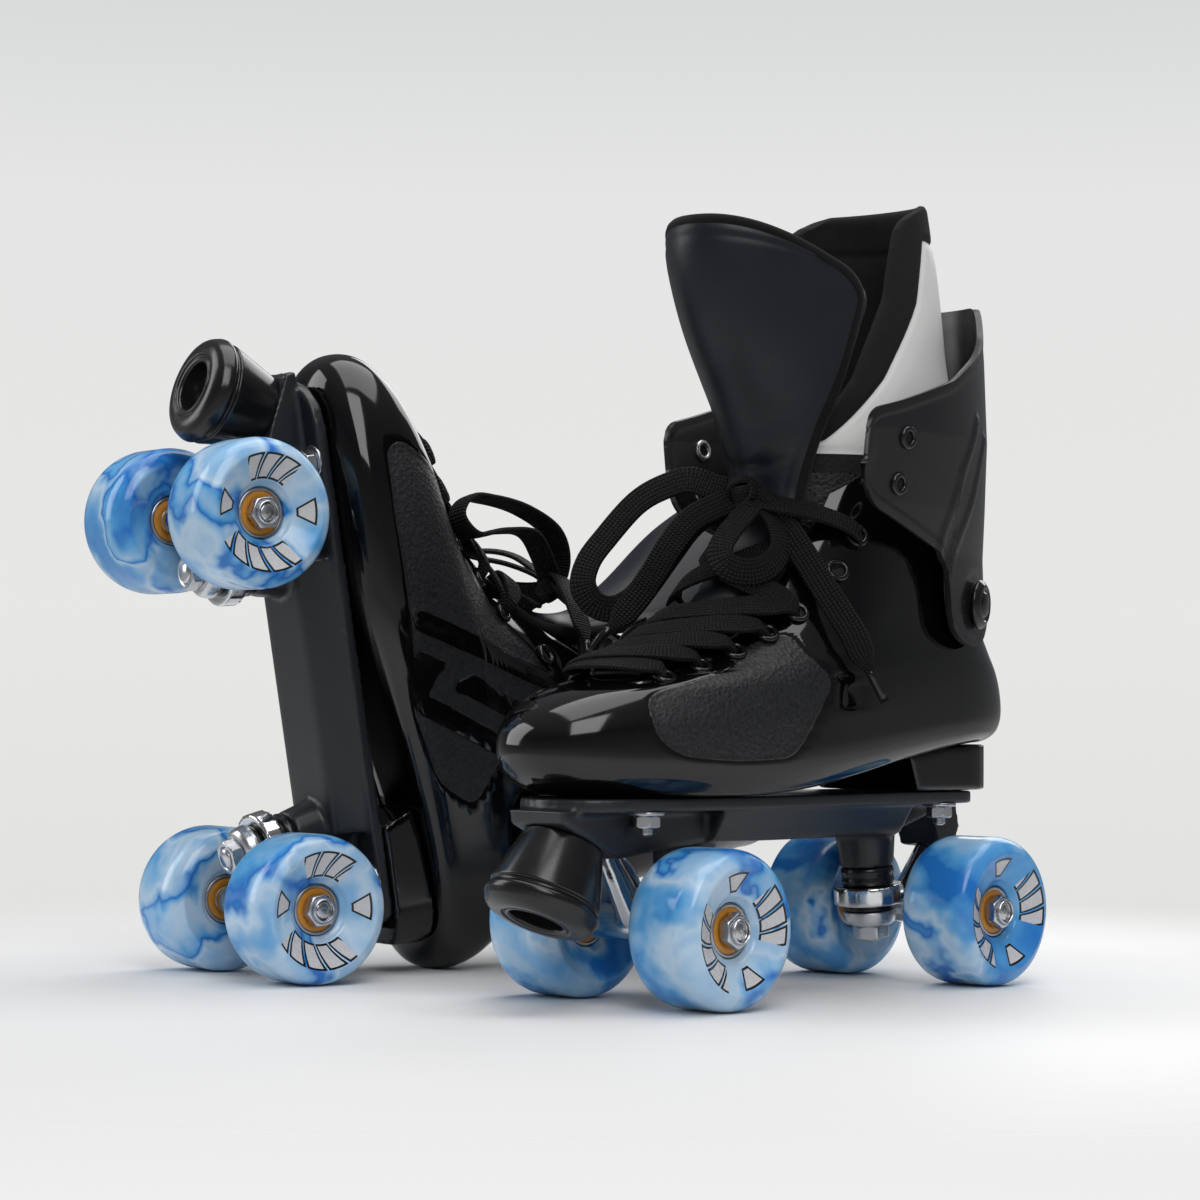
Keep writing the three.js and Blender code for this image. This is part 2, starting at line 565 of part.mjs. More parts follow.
function plate() {
  const underside = PLATE_TOP - FLANGE;
  const flange = solid(planExtrusion(plateOutline(), underside, PLATE_TOP, 7));
  const section = new THREE.Shape();
  section.moveTo(-PLATE_HALF_WIDTH + 1, underside + 1);
  section.lineTo(-BEAM_HALF_WIDTH, BEAM_BOTTOM + 4);
  section.quadraticCurveTo(-BEAM_HALF_WIDTH + 2, BEAM_BOTTOM, -BEAM_HALF_WIDTH + 7, BEAM_BOTTOM);
  section.lineTo(BEAM_HALF_WIDTH - 7, BEAM_BOTTOM);
  section.quadraticCurveTo(BEAM_HALF_WIDTH - 2, BEAM_BOTTOM, BEAM_HALF_WIDTH, BEAM_BOTTOM + 4);
  section.lineTo(PLATE_HALF_WIDTH - 1, underside + 1);
  const reach = WHEELBASE / 2 - KINGPIN_INSET;
  const beam = new THREE.ExtrudeGeometry(section, { depth: 2 * reach, bevelEnabled: false, curveSegments: 3 });
  let body = flange.add(solid(beam.rotateX(Math.PI / 2).translate(0, reach, 0)));

  const tilt = radians(STOP_TILT);
  const seat = (across) => [STOP_SEAT_Y + across * Math.cos(tilt), STOP_SEAT_Z - across * Math.sin(tilt)];
  const nose = [
    [seat(-STOP_TOP_RADIUS)[0] - 1, underside + 1], seat(-STOP_TOP_RADIUS), seat(STOP_TOP_RADIUS),
    [-reach - KINGPIN_INSET, BEAM_BOTTOM - 2], [-reach, BEAM_BOTTOM], [-reach, underside + 1],
  ];
  body = body.add(solid(sideExtrusion(nose, STOP_TOP_RADIUS - 1)));
  const tailRear = WHEELBASE / 2 + PIVOT_OUTSET;
  const tail = [
    [reach, underside + 1], [reach, BEAM_BOTTOM], [tailRear - 13, underside - 5], [tailRear - 8, PIVOT_HEIGHT - 3],
    [tailRear + 3, PIVOT_HEIGHT - 4], [tailRear + 7, PIVOT_HEIGHT + 6], [tailRear + 4, underside + 1],
  ];
  body = body.add(solid(sideExtrusion(tail, PIVOT_RADIUS + 6)));

  for (const end of [-1, 1]) {
    const boss = round(CUSHION_RADIUS, BOSS_RADIUS, BOSS_BOTTOM, BOSS_TOP, 16);
    const bore = round(KINGPIN_RADIUS + GAP, KINGPIN_RADIUS + GAP, 0, KINGPIN_TOP + GAP, 10);
    body = body.add(solid(placeAtAxle(onKingpin(boss), end)));
    body = body.subtract(solid(placeAtAxle(onKingpin(bore), end)));
    body = body.subtract(solid(placeAtAxle(pivotArm(0.5), end)));
  }
  const stemHole = round(STEM_RADIUS + GAP, STEM_RADIUS + GAP, -1, STEM_DEPTH + GAP, 12);
  return surface(body.subtract(solid(onStopAxis(stemHole))));
}

// ---- Toe stop --------------------------------------------------------------------------------

const STEM_DEPTH = 10; // how far the stem goes into the plate

/** Tilts a geometry made about Z, with the seat at height 0, onto the toe stop's axis. */
function onStopAxis(geometry) {
  return geometry.rotateX(-radians(STOP_TILT)).translate(0, STOP_SEAT_Y, STOP_SEAT_Z);
}

function toeStop() {
  const profile = [
    [STEM_RADIUS + GAP, -GAP], [STOP_TOP_RADIUS, -GAP], [STOP_TOP_RADIUS + 0.6, -2],
    [STOP_RADIUS - 0.6, -STOP_HEIGHT + 11], [STOP_RADIUS, -STOP_HEIGHT + 6.5], [STOP_RADIUS - 2.4, -STOP_HEIGHT + 1.6],
    [STOP_RADIUS - 6.5, -STOP_HEIGHT], [STOP_BORE, -STOP_HEIGHT], [STOP_BORE, -STOP_HEIGHT + 14],
    [STEM_RADIUS + GAP, -STOP_HEIGHT + 14],
  ];
  profile.push(profile[0]);
  return onStopAxis(turned(profile, 18));
}

/** The threaded stem with the round head that holds the rubber. */
function toeStopStem() {
  const head = -STOP_HEIGHT + 14 - GAP;
  const profile = [
    [0, STEM_DEPTH], [STEM_RADIUS, STEM_DEPTH], [STEM_RADIUS, head], [STOP_BORE - 1, head], [STOP_BORE - 1, head - 3], [0, head - 3],
  ];
  return onStopAxis(turned(profile, 12));
}

// ---- Trucks ----------------------------------------------------------------------------------

/** The hanger's arm and ball that sit in the plate's pivot socket, `clearance` thicker. */
function pivotArm(clearance) {
  const length = PIVOT_BALL.length();
  const angle = Math.atan2(PIVOT_BALL.y, PIVOT_BALL.z);
  const profile = [
    [0, length + PIVOT_RADIUS + clearance], [PIVOT_RADIUS * 0.75 + clearance, length + PIVOT_RADIUS * 0.66 + clearance],
    [PIVOT_RADIUS + clearance, length], [PIVOT_RADIUS + clearance, length - 6], [AXLE_HOUSING + clearance, 4], [0, 4],
  ];
  return turned(profile, 10).rotateX(-angle);
}

function hanger() {
  const tip = WHEEL_TRACK / 2 + AXLE_TIP;
  const shoulder = WHEEL_TRACK / 2 - HUB_FACE - RUNNING;
  const axle = round(AXLE_DIAMETER / 2, AXLE_DIAMETER / 2, -tip, tip, 10).rotateY(Math.PI / 2);
  const housing = turnedAlongX([
    [0, shoulder], [BEARING_BORE / 2 + 2, shoulder], [AXLE_HOUSING, shoulder - 5],
    [AXLE_HOUSING, 5 - shoulder], [BEARING_BORE / 2 + 2, -shoulder], [0, -shoulder],
  ], 12);
  const ring = onKingpin(round(RING_RADIUS, RING_RADIUS, -RING_THICKNESS / 2, RING_THICKNESS / 2, 18));
  const hole = onKingpin(round(CUSHION_NECK + GAP, CUSHION_NECK + GAP, -RING_THICKNESS, RING_THICKNESS, 12));
  const ringEdge = RING_CENTRE.y - CUSHION_RADIUS - GAP;
  const ringTop = RING_CENTRE.z + RING_THICKNESS / 2;
  const web = sideExtrusion([
    [ringEdge + 3, ringTop - 0.5], [0, AXLE_HOUSING - 0.5], [0, 1 - AXLE_HOUSING],
    [ringEdge, ringTop - RING_THICKNESS + 1.6], [ringEdge + 3, ringTop - RING_THICKNESS + 1.6],
  ], AXLE_HOUSING);
  return surface(
    solid(axle).add(solid(housing)).add(solid(ring)).add(solid(web)).add(solid(pivotArm(0))).subtract(solid(hole)),
  );
}

/** The bolt with its cup washer and nut below the lower cushion. */
function kingpin() {
  const shaft = round(KINGPIN_RADIUS, KINGPIN_RADIUS, CUP_TOP - CUP_HEIGHT - KINGPIN_NUT_HEIGHT - 1, KINGPIN_TOP, 8);
  const cup = round(CUSHION_RADIUS - 1.2, CUSHION_RADIUS, CUP_TOP - GAP - CUP_HEIGHT, CUP_TOP - GAP, 14);
  const nutTop = CUP_TOP - GAP - CUP_HEIGHT + 0.1;
  const nutRadius = KINGPIN_NUT_ACROSS / Math.sqrt(3);
  const nut = round(nutRadius, nutRadius, nutTop - KINGPIN_NUT_HEIGHT, nutTop, 6);
  return surface(solid(onKingpin(shaft)).add(solid(onKingpin(cup))).add(solid(onKingpin(nut))));
}

/** The one-piece cushion: a barrel above the ring, a neck through it and a disc below it. */
function cushion() {
  const half = RING_THICKNESS / 2 + GAP;
  const bore = KINGPIN_RADIUS + GAP;
  const profile = [
    [bore, BOSS_BOTTOM - GAP], [CUSHION_RADIUS, BOSS_BOTTOM - GAP], [CUSHION_RADIUS, half], [CUSHION_NECK, half],
    [CUSHION_NECK, -half], [CUSHION_RADIUS - 0.8, -half], [CUSHION_RADIUS - 0.8, CUP_TOP], [bore, CUP_TOP],
  ];
  profile.push(profile[0]);
  return onKingpin(turned(profile, 12));
}

// ---- Wheels ----------------------------------------------------------------------------------

const WHEEL_SIDES = 16;
const SEAT_DEPTH = HUB_FACE - BEARING_WIDTH; // from the wheel's middle plane to a bearing's inner face

function wheel() {
  const flats = 1 / Math.cos(Math.PI / WHEEL_SIDES); // the tread's flats, not its corners, lie on the radius
  const edge = WHEEL_WIDTH / 2;
  const lipCentre = WHEEL_RADIUS - WHEEL_LIP;
  const slant = WHEEL_LIP * Math.SQRT1_2;
  const seat = BEARING_OUTSIDE / 2 + GAP;
  const half = [
    [seat, SEAT_DEPTH - GAP], [seat, HUB_FACE + 0.4], [lipCentre, edge],
    [lipCentre + slant, edge - WHEEL_LIP + slant], [WHEEL_RADIUS, edge - WHEEL_LIP],
  ];
  const web = BEARING_OUTSIDE / 2 - 2;
  const other = half.map(([r, x]) => [r, -x]).reverse();
  const profile = [[web, SEAT_DEPTH - GAP], ...half, ...other, [web, GAP - SEAT_DEPTH]].map(([r, x]) => [r * flats, x]);
  profile.push(profile[0]);
  return turnedAlongX(profile, WHEEL_SIDES).rotateX(Math.PI / WHEEL_SIDES);
}

/** A wheel's two bearings and the sleeve that holds them apart. */
function bearingPair() {
  const inner = BEARING_BORE / 2 + 0.3;
  const profile = [
    [inner, HUB_FACE], [BEARING_OUTSIDE / 2, HUB_FACE], [BEARING_OUTSIDE / 2, SEAT_DEPTH], [inner + 2, SEAT_DEPTH],
    [inner + 2, -SEAT_DEPTH], [BEARING_OUTSIDE / 2, -SEAT_DEPTH], [BEARING_OUTSIDE / 2, -HUB_FACE], [inner, -HUB_FACE],
  ];
  profile.push(profile[0]);
  return turnedAlongX(profile, 12);
}

/** The axle nut, made about X with its inner face at x = 0. */
function axleNut() {
  const radius = NUT_ACROSS_FLATS / Math.sqrt(3);
  const hex = round(radius, radius, 0, NUT_HEIGHT, 6);
  const bore = round(AXLE_DIAMETER / 2 + GAP, AXLE_DIAMETER / 2 + GAP, -1, NUT_HEIGHT + 1, 10);
  return surface(solid(hex).subtract(solid(bore))).rotateY(Math.PI / 2);
}

// ---- Laces -----------------------------------------------------------------------------------

// Stations of the laced eyelet pairs up the boot, from the toe. The pair between the last two is
// left empty, and the lace comes up inside the throat to the top pair.
const LACED = [7.2, 7.9, 8.6, 9.3, 10];
const TOP_EYELET = 12.1;
const EYELET_INSET = 6.5; // from the throat's edge to an eyelet's centre
const EYELET_LIFT = 2.3; // a lace's middle over the shell at an eyelet
const LACE_LIFT = TONGUE_PROUD + TONGUE_THICKNESS / 2 + LACE_THICKNESS / 2 + 1.5; // out of the shell's outline

/** A flat lace across the tongue, between two [station, angle] ends; `over` lifts its middle. */
function laceStrip([fromStation, fromAngle], [toStation, toAngle], endLift, over) {
  const steps = 4;
  const point = (t, lift) => bootPoint(mix(fromStation, toStation, t), mix(fromAngle, toAngle, t), -lift);
  const rings = [];
  for (let i = 0; i <= steps; i++) {
    const t = i / steps;
    const lift = mix(t < 0.5 ? EYELET_LIFT : endLift, LACE_LIFT + over, Math.sin(Math.PI * t) ** 0.5);
    const middle = point(t, lift);
    const outward = point(t, lift + 1).sub(middle).normalize();
    const along = point(t + 0.01, lift).sub(middle);
    const across = new THREE.Vector3().crossVectors(outward, along).normalize().multiplyScalar(LACE_WIDTH / 2);
    const up = outward.multiplyScalar(LACE_THICKNESS / 2);
    rings.push([[-1, -1], [1, -1], [1, 1], [-1, 1]].map(([a, b]) =>
      middle.clone().addScaledVector(across, a).addScaledVector(up, b)));
  }
  return solid(loft(rings));
}

function laces() {
  const over = LACE_THICKNESS + GAP; // one lace of each crossing passes over the other
  const eyelet = (station, side) => [station, side * throatAngle(station, EYELET_INSET)];
  const strips = [laceStrip(eyelet(LACED[0], 1), eyelet(LACED[0], -1), EYELET_LIFT, 0)];
  for (const side of [1, -1]) {
    const lift = side > 0 ? 0 : over;
    for (let i = 0; i + 1 < LACED.length; i++) {
      strips.push(laceStrip(eyelet(LACED[i], side), eyelet(LACED[i + 1], -side), EYELET_LIFT, lift));
    }
    const inThroat = [TOP_EYELET - 0.5, -side * throatAngle(TOP_EYELET - 0.5, -LACE_WIDTH / 2)];
    strips.push(laceStrip(eyelet(LACED.at(-1), side), inThroat, LACE_LIFT, lift));
  }
  return surface(strips.reduce((all, strip) => all.add(strip)));
}

// The bow of each skate: a knot, two short runs to the top eyelets, two loops and two tails, as
// routes in the skate's own frame that start at the knot.
const BOWS = {
  left: {
    knot: [4, -28, 211],
    routes: {
      outer_run: [[12, -26, 208], [20, -22, 206], [29, -11, 202], [37.3, 3.9, 195.8]],
      inner_run: [[-10, -26, 208], [-20, -22, 206], [-29, -11, 202], [-37.3, 3.9, 195.8]],
      big_loop: [
        [-6, -36, 214], [-14, -41, 217], [-24, -47, 214], [-34, -52, 208], [-44, -61, 193], [-48, -68, 182],
        [-48, -71, 172], [-44, -68, 164], [-38, -63, 162], [-30, -59, 166], [-22, -56, 176], [-14, -53, 189],
        [-8, -46, 200], [0, -35, 207], [4, -28, 211],
      ],
      front_loop: [
        [10, -29, 207], [12, -38, 200], [12, -46, 193], [12, -51, 186], [15, -51, 180], [20, -45, 177],
        [24, -36, 179], [25, -28, 187], [21, -26, 198], [12, -27, 206], [4, -28, 211],
      ],
      outer_tail: [
        [14, -27, 206], [22, -22, 197], [31, -19, 184], [39, -17, 172], [45, -13, 161], [49, -9, 152], [51, -5, 143],
        [53, 0, 133], [55, 5, 124],
      ],
      inner_tail: [
        [-2, -34, 207], [-10, -44, 198], [-18, -51, 184], [-26, -58, 169], [-32, -66, 157], [-37, -72, 149],
        [-40, -75, 142],
      ],
    },
  },
  right: {
    knot: [0, -29, 211],
    routes: {
      outer_run: [[10, -26, 208], [20, -22, 206], [29, -11, 202], [37.3, 3.9, 195.8]],
      inner_run: [[-10, -26, 208], [-20, -22, 206], [-29, -11, 202], [-37.3, 3.9, 195.8]],
      big_loop: [
        [-4, -41, 214], [-12, -55, 207], [-20, -68, 187], [-28, -76, 163], [-33, -78, 148], [-36, -71, 140],
        [-36, -62, 146], [-30, -61, 166], [-20, -57, 188], [-10, -44, 201], [0, -29, 211],
      ],
      front_loop: [
        [8, -37, 209], [18, -46, 203], [28, -50, 192], [35, -48, 181], [36, -41, 175], [31, -35, 182], [22, -32, 195],
        [10, -29, 206], [0, -29, 211],
      ],
      outer_tail: [[6, -36, 206], [14, -43, 196], [22, -48, 184], [28, -54, 171], [34, -60, 158], [39, -64, 146]],
      inner_tail: [[-8, -34, 210], [-20, -28, 206], [-30, -20, 202], [-38, -10, 199], [-43, 0, 196], [-45, 8, 193]],
    },
  },
};
const BOW_STEP = 18; // along a lace between two sections
const KNOT_SIZE = new THREE.Vector3(10, 7, 7.5); // half-sizes

/** A flat lace's section with eight sides. */
function laceSection() {
  const shape = new THREE.Shape();
  const half = [LACE_WIDTH / 2, LACE_THICKNESS / 2];
  const inset = 0.6;
  const corners = [[1, -1], [1, 1], [-1, 1], [-1, -1]].flatMap(([a, b], i) => {
    const near = [a * half[0], b * (half[1] - inset)];
    const far = [a * (half[0] - inset), b * half[1]];
    return i % 2 ? [near, far] : [far, near];
  });
  corners.forEach(([x, y], i) => (i ? shape.lineTo(x, y) : shape.moveTo(x, y)));
  return shape;
}

/** The bow that hangs free, as one closed body. */
function laceBow(side) {
  const { knot, routes } = BOWS[side];
  const ball = new THREE.SphereGeometry(1, 10, 6).scale(...KNOT_SIZE).translate(...knot);
  const runs = Object.values(routes).map((points) => {
    const path = new THREE.CatmullRomCurve3([knot, ...points].map((p) => new THREE.Vector3(...p)));
    const steps = Math.ceil(path.getLength() / BOW_STEP);
    return solid(new THREE.ExtrudeGeometry(laceSection(), { steps, extrudePath: path, bevelEnabled: false }));
  });
  return surface(runs.reduce((all, run) => all.add(run), solid(ball)));
}

// ---- Assembly --------------------------------------------------------------------------------

/** All the meshes of one skate, named with its side, in the skate's own frame. */
function skate(side, wheelTurn) {
  const group = new THREE.Group();
  const add = (name, geometry, finish) => {
    const mesh = new THREE.Mesh(geometry, finish);
    mesh.name = `${side}_${name}`;
    group.add(mesh);
    return mesh;
  };
  add("boot_shell", bootShell(), GLOSS_BLACK);
  add("liner", liner(), LINER_WHITE);
  add("tongue", tongue(), LEATHERETTE);
  add("cuff", cuff(), SATIN_BLACK);
  add("cuff_rivet_outer", cuffRivet(1), GLOSS_BLACK);
  add("cuff_rivet_inner", cuffRivet(-1), GLOSS_BLACK);
  add("laces", laces(), LACE_BLACK);
  add("lace_bow", laceBow(side), LACE_BLACK);
  add("heel_block", heelBlock(), GLOSS_BLACK);
  add("plate", plate(), NYLON_BLACK);
  add("toe_stop", toeStop(), RUBBER_BLACK);
  add("toe_stop_stem", toeStopStem(), ZINC);
  for (const [end, where] of [[-1, "front"], [1, "rear"]]) {
    add(`${where}_hanger`, placeAtAxle(hanger(), end), CHROME);
    add(`${where}_kingpin`, placeAtAxle(kingpin(), end), ZINC);
    add(`${where}_cushion`, placeAtAxle(cushion(), end), RUBBER_BLACK);
    for (const [out, face] of [[1, "outer"], [-1, "inner"]]) {
      const hub = new THREE.Vector3((out * WHEEL_TRACK) / 2, (end * WHEELBASE) / 2, WHEEL_RADIUS);
      add(`${where}_${face}_wheel`, wheel().rotateX(wheelTurn), WHEEL_BLUE).position.copy(hub);
      add(`${where}_${face}_bearings`, bearingPair(), BEARING_AMBER).position.copy(hub);
      const nut = add(`${where}_${face}_nut`, axleNut(), ZINC);
      nut.position.copy(hub).setX(out * (WHEEL_TRACK / 2 + HUB_FACE + GAP));
      if (out < 0) nut.rotation.z = Math.PI;
    }
  }
  return group;
}

/** How far the right skate leans back for the heel of its boot to touch the ground. */
function restingLean() {
  const heel = wholeStations(0, STATION_COUNT).flatMap((k) => bootRing(k, 0));
  const lowest = (lean) => Math.min(...heel.map((p) =>
    WHEEL_RADIUS - (p.y - WHEELBASE / 2) * Math.sin(lean) + (p.z - WHEEL_RADIUS) * Math.cos(lean)));
  let [free, under] = [radians(60), radians(90)];
  for (let i = 0; i < 30; i++) {
    const middle = (free + under) / 2;
    if (lowest(middle) > 0) free = middle;
    else under = middle;
  }
  return free;
}

const lean = restingLean();
const right = skate("right", lean);
right.scale.x = -1;
right.position.set(0, -WHEELBASE / 2, -WHEEL_RADIUS);
const leaned = new THREE.Group().add(right);
leaned.rotation.x = -lean;
leaned.position.z = WHEEL_RADIUS;
const placed = new THREE.Group().add(leaned);
placed.rotation.z = radians(RIGHT_SKATE_TURN);
placed.position.set(RIGHT_SKATE_PLACE.x, RIGHT_SKATE_PLACE.y, 0);
const pair = new THREE.Group().add(skate("left", 0), placed);

pair.updateMatrixWorld(true);
const box = new THREE.Box3();
pair.traverse((object) => {
  if (object.isMesh && !object.name.endsWith("lace_bow")) box.expandByObject(object, true);
});
const middle = box.getCenter(new THREE.Vector3());
pair.position.set(-middle.x, -middle.y, 0);

const group = new THREE.Group().add(pair);
group.name = "roller_skates";
export default group;
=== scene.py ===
"""A pair of quad roller skates: the looks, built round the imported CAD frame.

Shapes are made in millimetres in a skate's own frame, which part.mjs also uses: +X to the outer
side, -Y towards the toe, Z = 0 on the ground, Y = 0 midway between the axles. A Skate then places
them in the row frame. The right skate is the left one's mirror image, leaning back.
"""

import math

import bmesh
import bpy
import numpy as np
from mathutils import Matrix, Vector


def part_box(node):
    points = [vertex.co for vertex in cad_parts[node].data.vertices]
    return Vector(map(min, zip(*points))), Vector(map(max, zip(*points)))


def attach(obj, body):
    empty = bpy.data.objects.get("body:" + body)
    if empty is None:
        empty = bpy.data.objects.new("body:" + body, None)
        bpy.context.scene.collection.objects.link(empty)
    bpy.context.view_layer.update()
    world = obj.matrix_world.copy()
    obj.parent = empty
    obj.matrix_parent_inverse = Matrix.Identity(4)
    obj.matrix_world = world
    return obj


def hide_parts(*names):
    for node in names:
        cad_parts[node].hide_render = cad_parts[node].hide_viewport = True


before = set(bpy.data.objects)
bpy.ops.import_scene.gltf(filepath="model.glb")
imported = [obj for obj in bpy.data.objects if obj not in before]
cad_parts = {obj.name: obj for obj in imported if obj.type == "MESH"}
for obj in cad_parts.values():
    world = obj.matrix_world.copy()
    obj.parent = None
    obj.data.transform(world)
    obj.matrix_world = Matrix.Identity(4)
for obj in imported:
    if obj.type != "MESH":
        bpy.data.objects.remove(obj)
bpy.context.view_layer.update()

MM = 0.001
ROOT = "skates"

# ---- Driving dimensions, in millimetres, as in part.mjs ---------------------------------------

GAP = 0.3
WHEEL_RADIUS = 32.5
WHEEL_WIDTH = 38
WHEEL_LIP = 7.5
HUB_FACE = 10.6
BEARING_RADIUS = 11
WHEELBASE = 172
WHEEL_TRACK = 80
AXLE_RADIUS = 3.95
AXLE_TIP = 16.5
NUT_ACROSS_FLATS = 13
NUT_HEIGHT = 5

PLATE_TOP = 84.3
FLANGE = 5.5
KINGPIN_INSET = 24.5
KINGPIN_LEAN = math.radians(6)
KINGPIN_RADIUS = 4.75
RING_HEIGHT = 38.7
RING_THICKNESS = 8.4
CUSHION_RADIUS = 11.8
UPPER_CUSHION = 8.5
LOWER_CUSHION = 2.6
CUP_HEIGHT = 6.5
KINGPIN_NUT_ACROSS = 14
KINGPIN_NUT_HEIGHT = 6

STOP_TILT = math.radians(26)
STOP_TOP_RADIUS = 16.5
STOP_RADIUS = 24
STOP_HEIGHT = 35
STOP_BORE = 11
STOP_SEAT = (-129, 67)

BOOT_LENGTH = 285
BOOT_WIDTH = 100
BOOT_HEIGHT = 146
HEEL_BACK = 133
HEEL_RISE = 20.5
SHELL_WALL = 3
THROAT_HALF_WIDTH = 26
THROAT_TOE_HALF_WIDTH = 17
CUFF_WALL = 2.8
PIVOT_Y = 84
PIVOT_Z = 166.5
RIVET_HEAD = 11
TONGUE_THICKNESS = 6
TONGUE_PROUD = 1.7
LACE_WIDTH = 9.5
LACE_THICKNESS = 1.8


# ---- Numbers and curves -----------------------------------------------------------------------


def mix(a, b, t):
    return a + (b - a) * t


def ease(x, low, high):
    """A smooth step from 0 at low to 1 at high."""
    t = np.clip((np.asarray(x, float) - low) / (high - low), 0, 1)
    return t * t * (3 - 2 * t)


def unit(v):
    v = np.asarray(v, float)
    return v / np.maximum(np.linalg.norm(v, axis=-1, keepdims=True), 1e-12)


def catmull(points, places):
    """Centripetal Catmull-Rom through points, at places from 0 to len(points) - 1."""
    p = np.asarray(points, float)
    ends = np.vstack([2 * p[0] - p[1], p, 2 * p[-1] - p[-2]])
    at = np.clip(np.asarray(places, float), 0, len(p) - 1)
    k = np.minimum(at.astype(int), len(p) - 2)
    w = (at - k)[..., None]
    a, b, c, d = (ends[k + i] for i in range(4))
    gaps = (np.linalg.norm(v - u, axis=-1, keepdims=True) for u, v in ((a, b), (b, c), (c, d)))
    span = [np.maximum(np.sqrt(gap), 1e-4) for gap in gaps]
    t1 = ((b - a) / span[0] - (c - a) / (span[0] + span[1]) + (c - b) / span[1]) * span[1]
    t2 = ((c - b) / span[1] - (d - b) / (span[1] + span[2]) + (d - c) / span[2]) * span[1]
    return b + t1 * w + (-3 * b + 3 * c - 2 * t1 - t2) * w ** 2 + (2 * b - 2 * c + t1 + t2) * w ** 3


def evenly(points, count):
    """Points of a fine path at even distances along it."""
    length = np.concatenate([[0], np.cumsum(np.linalg.norm(np.diff(points, axis=0), axis=1))])
    at = np.linspace(0, length[-1], count)
    return np.stack([np.interp(at, length, points[:, i]) for i in range(3)], axis=1)


def rounded(points, radii, steps=5):
    """A polyline with its inner corners rounded; radii has one value for each point."""
    p = [np.array(q, float) for q in points]
    out = [p[0]]
    for before, here, after, radius in zip(p, p[1:], p[2:], radii[1:-1]):
        if radius <= 0:
            out.append(here)
            continue
        into, away = here - before, after - here
        reach = min(radius, 0.49 * np.linalg.norm(into), 0.49 * np.linalg.norm(away))
        start, end = here - unit(into) * reach, here + unit(away) * reach
        for t in np.linspace(0, 1, steps):
            out.append((1 - t) ** 2 * start + 2 * t * (1 - t) * here + t ** 2 * end)
    return out + [p[-1]]


# ---- Skates and meshes ------------------------------------------------------------------------


def middle_of(node):
    low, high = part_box(node)
    return (low + high) / 2


def linked(name, data):
    """A new object in the scene that shows a mesh, a light or a camera."""
    new = bpy.data.objects.new(name, data)
    bpy.context.scene.collection.objects.link(new)
    return new


def store(mesh, name, values, kind="vector"):
    """Stores a vector or a value for each vertex, for the materials to read."""
    layer = mesh.attributes.new(name, "FLOAT_VECTOR" if kind == "vector" else "FLOAT", "POINT")
    layer.data.foreach_set(kind, np.asarray(values).astype(np.float32).ravel())


class Skate:
    """Where one skate stands: its own millimetres to the row frame's metres."""

    def __init__(self, side):
        self.side = side
        self.mirrored = side == "right"
        outer, inner = middle_of(f"{side}_rear_outer_wheel"), middle_of(f"{side}_rear_inner_wheel")
        rear = (outer + inner) / 2
        front = (middle_of(f"{side}_front_outer_wheel") + middle_of(f"{side}_front_inner_wheel")) / 2
        x = (outer - inner).normalized()
        y = (rear - front).normalized()
        z = y.cross(x) if self.mirrored else x.cross(y)
        origin = (front + rear) / 2 - z * WHEEL_RADIUS * MM
        self.turn = np.array([x, y, z]).T * MM
        self.origin = np.array(origin)

    def place(self, points):
        return np.asarray(points, float) @ self.turn.T + self.origin

    def name(self, piece):
        return f"{self.side}_{piece}"


def grid_faces(rows, cols, closed=False):
    """Quads between rows of points; closed joins each row's last point to its first."""
    r, c = np.meshgrid(np.arange(rows - 1), np.arange(cols if closed else cols - 1), indexing="ij")
    a = r * cols + c
    b = r * cols + (c + 1) % cols
    return np.stack([a, b, b + cols, a + cols], axis=-1).reshape(-1, 4).tolist()


SHARP_ANGLE = math.radians(40)  # edges sharper than this are bevelled


def make(skate, piece, points, faces, material, replaces=(), body=ROOT, slot=None, uv=None, masks=None,
         smooth=True, weld=0.0, bevel=None, solidify=None):
    """One finished piece of a skate, from points in its own millimetres."""
    points = np.asarray(points, float).reshape(-1, 3)
    mesh = bpy.data.meshes.new(skate.name(piece))
    mesh.from_pydata(skate.place(points).tolist(), [], [list(f) for f in faces])
    store(mesh, "local", points * MM)
    for name, values in (masks or {}).items():
        store(mesh, name, values, "value")
    if uv is not None:
        layer = mesh.uv_layers.new(name="UVMap")
        corner = np.zeros(len(mesh.loops), np.int32)
        mesh.loops.foreach_get("vertex_index", corner)
        layer.data.foreach_set("uv", np.asarray(uv, np.float32).reshape(-1, 2)[corner].ravel())
    work = bmesh.new()
    work.from_mesh(mesh)
    if weld:
        bmesh.ops.remove_doubles(work, verts=work.verts, dist=weld * MM)
    bmesh.ops.recalc_face_normals(work, faces=work.faces)
    work.to_mesh(mesh)
    work.free()
    if smooth:
        mesh.shade_smooth()
    piece_object = linked(skate.name(piece), mesh)
    piece_object.data.materials.append(material)
    if solidify:
        thick = piece_object.modifiers.new("Wall", "SOLIDIFY")
        thick.thickness = solidify * MM
        thick.offset = -1
    if bevel:
        edge = piece_object.modifiers.new("Edges", "BEVEL")
        edge.width = bevel * MM
        edge.segments = 3
        edge.limit_method = "ANGLE"
        edge.angle_limit = SHARP_ANGLE
    if solidify or bevel:
        apply_modifiers(piece_object)
    finish_piece(piece_object, skate, replaces, body)
    return piece_object


def apply_modifiers(piece_object):
    """The object's mesh becomes what its modifiers make of it."""
    graph = bpy.context.evaluated_depsgraph_get()
    old = piece_object.data
    piece_object.data = bpy.data.meshes.new_from_object(piece_object.evaluated_get(graph))
    piece_object.modifiers.clear()
    bpy.data.meshes.remove(old)


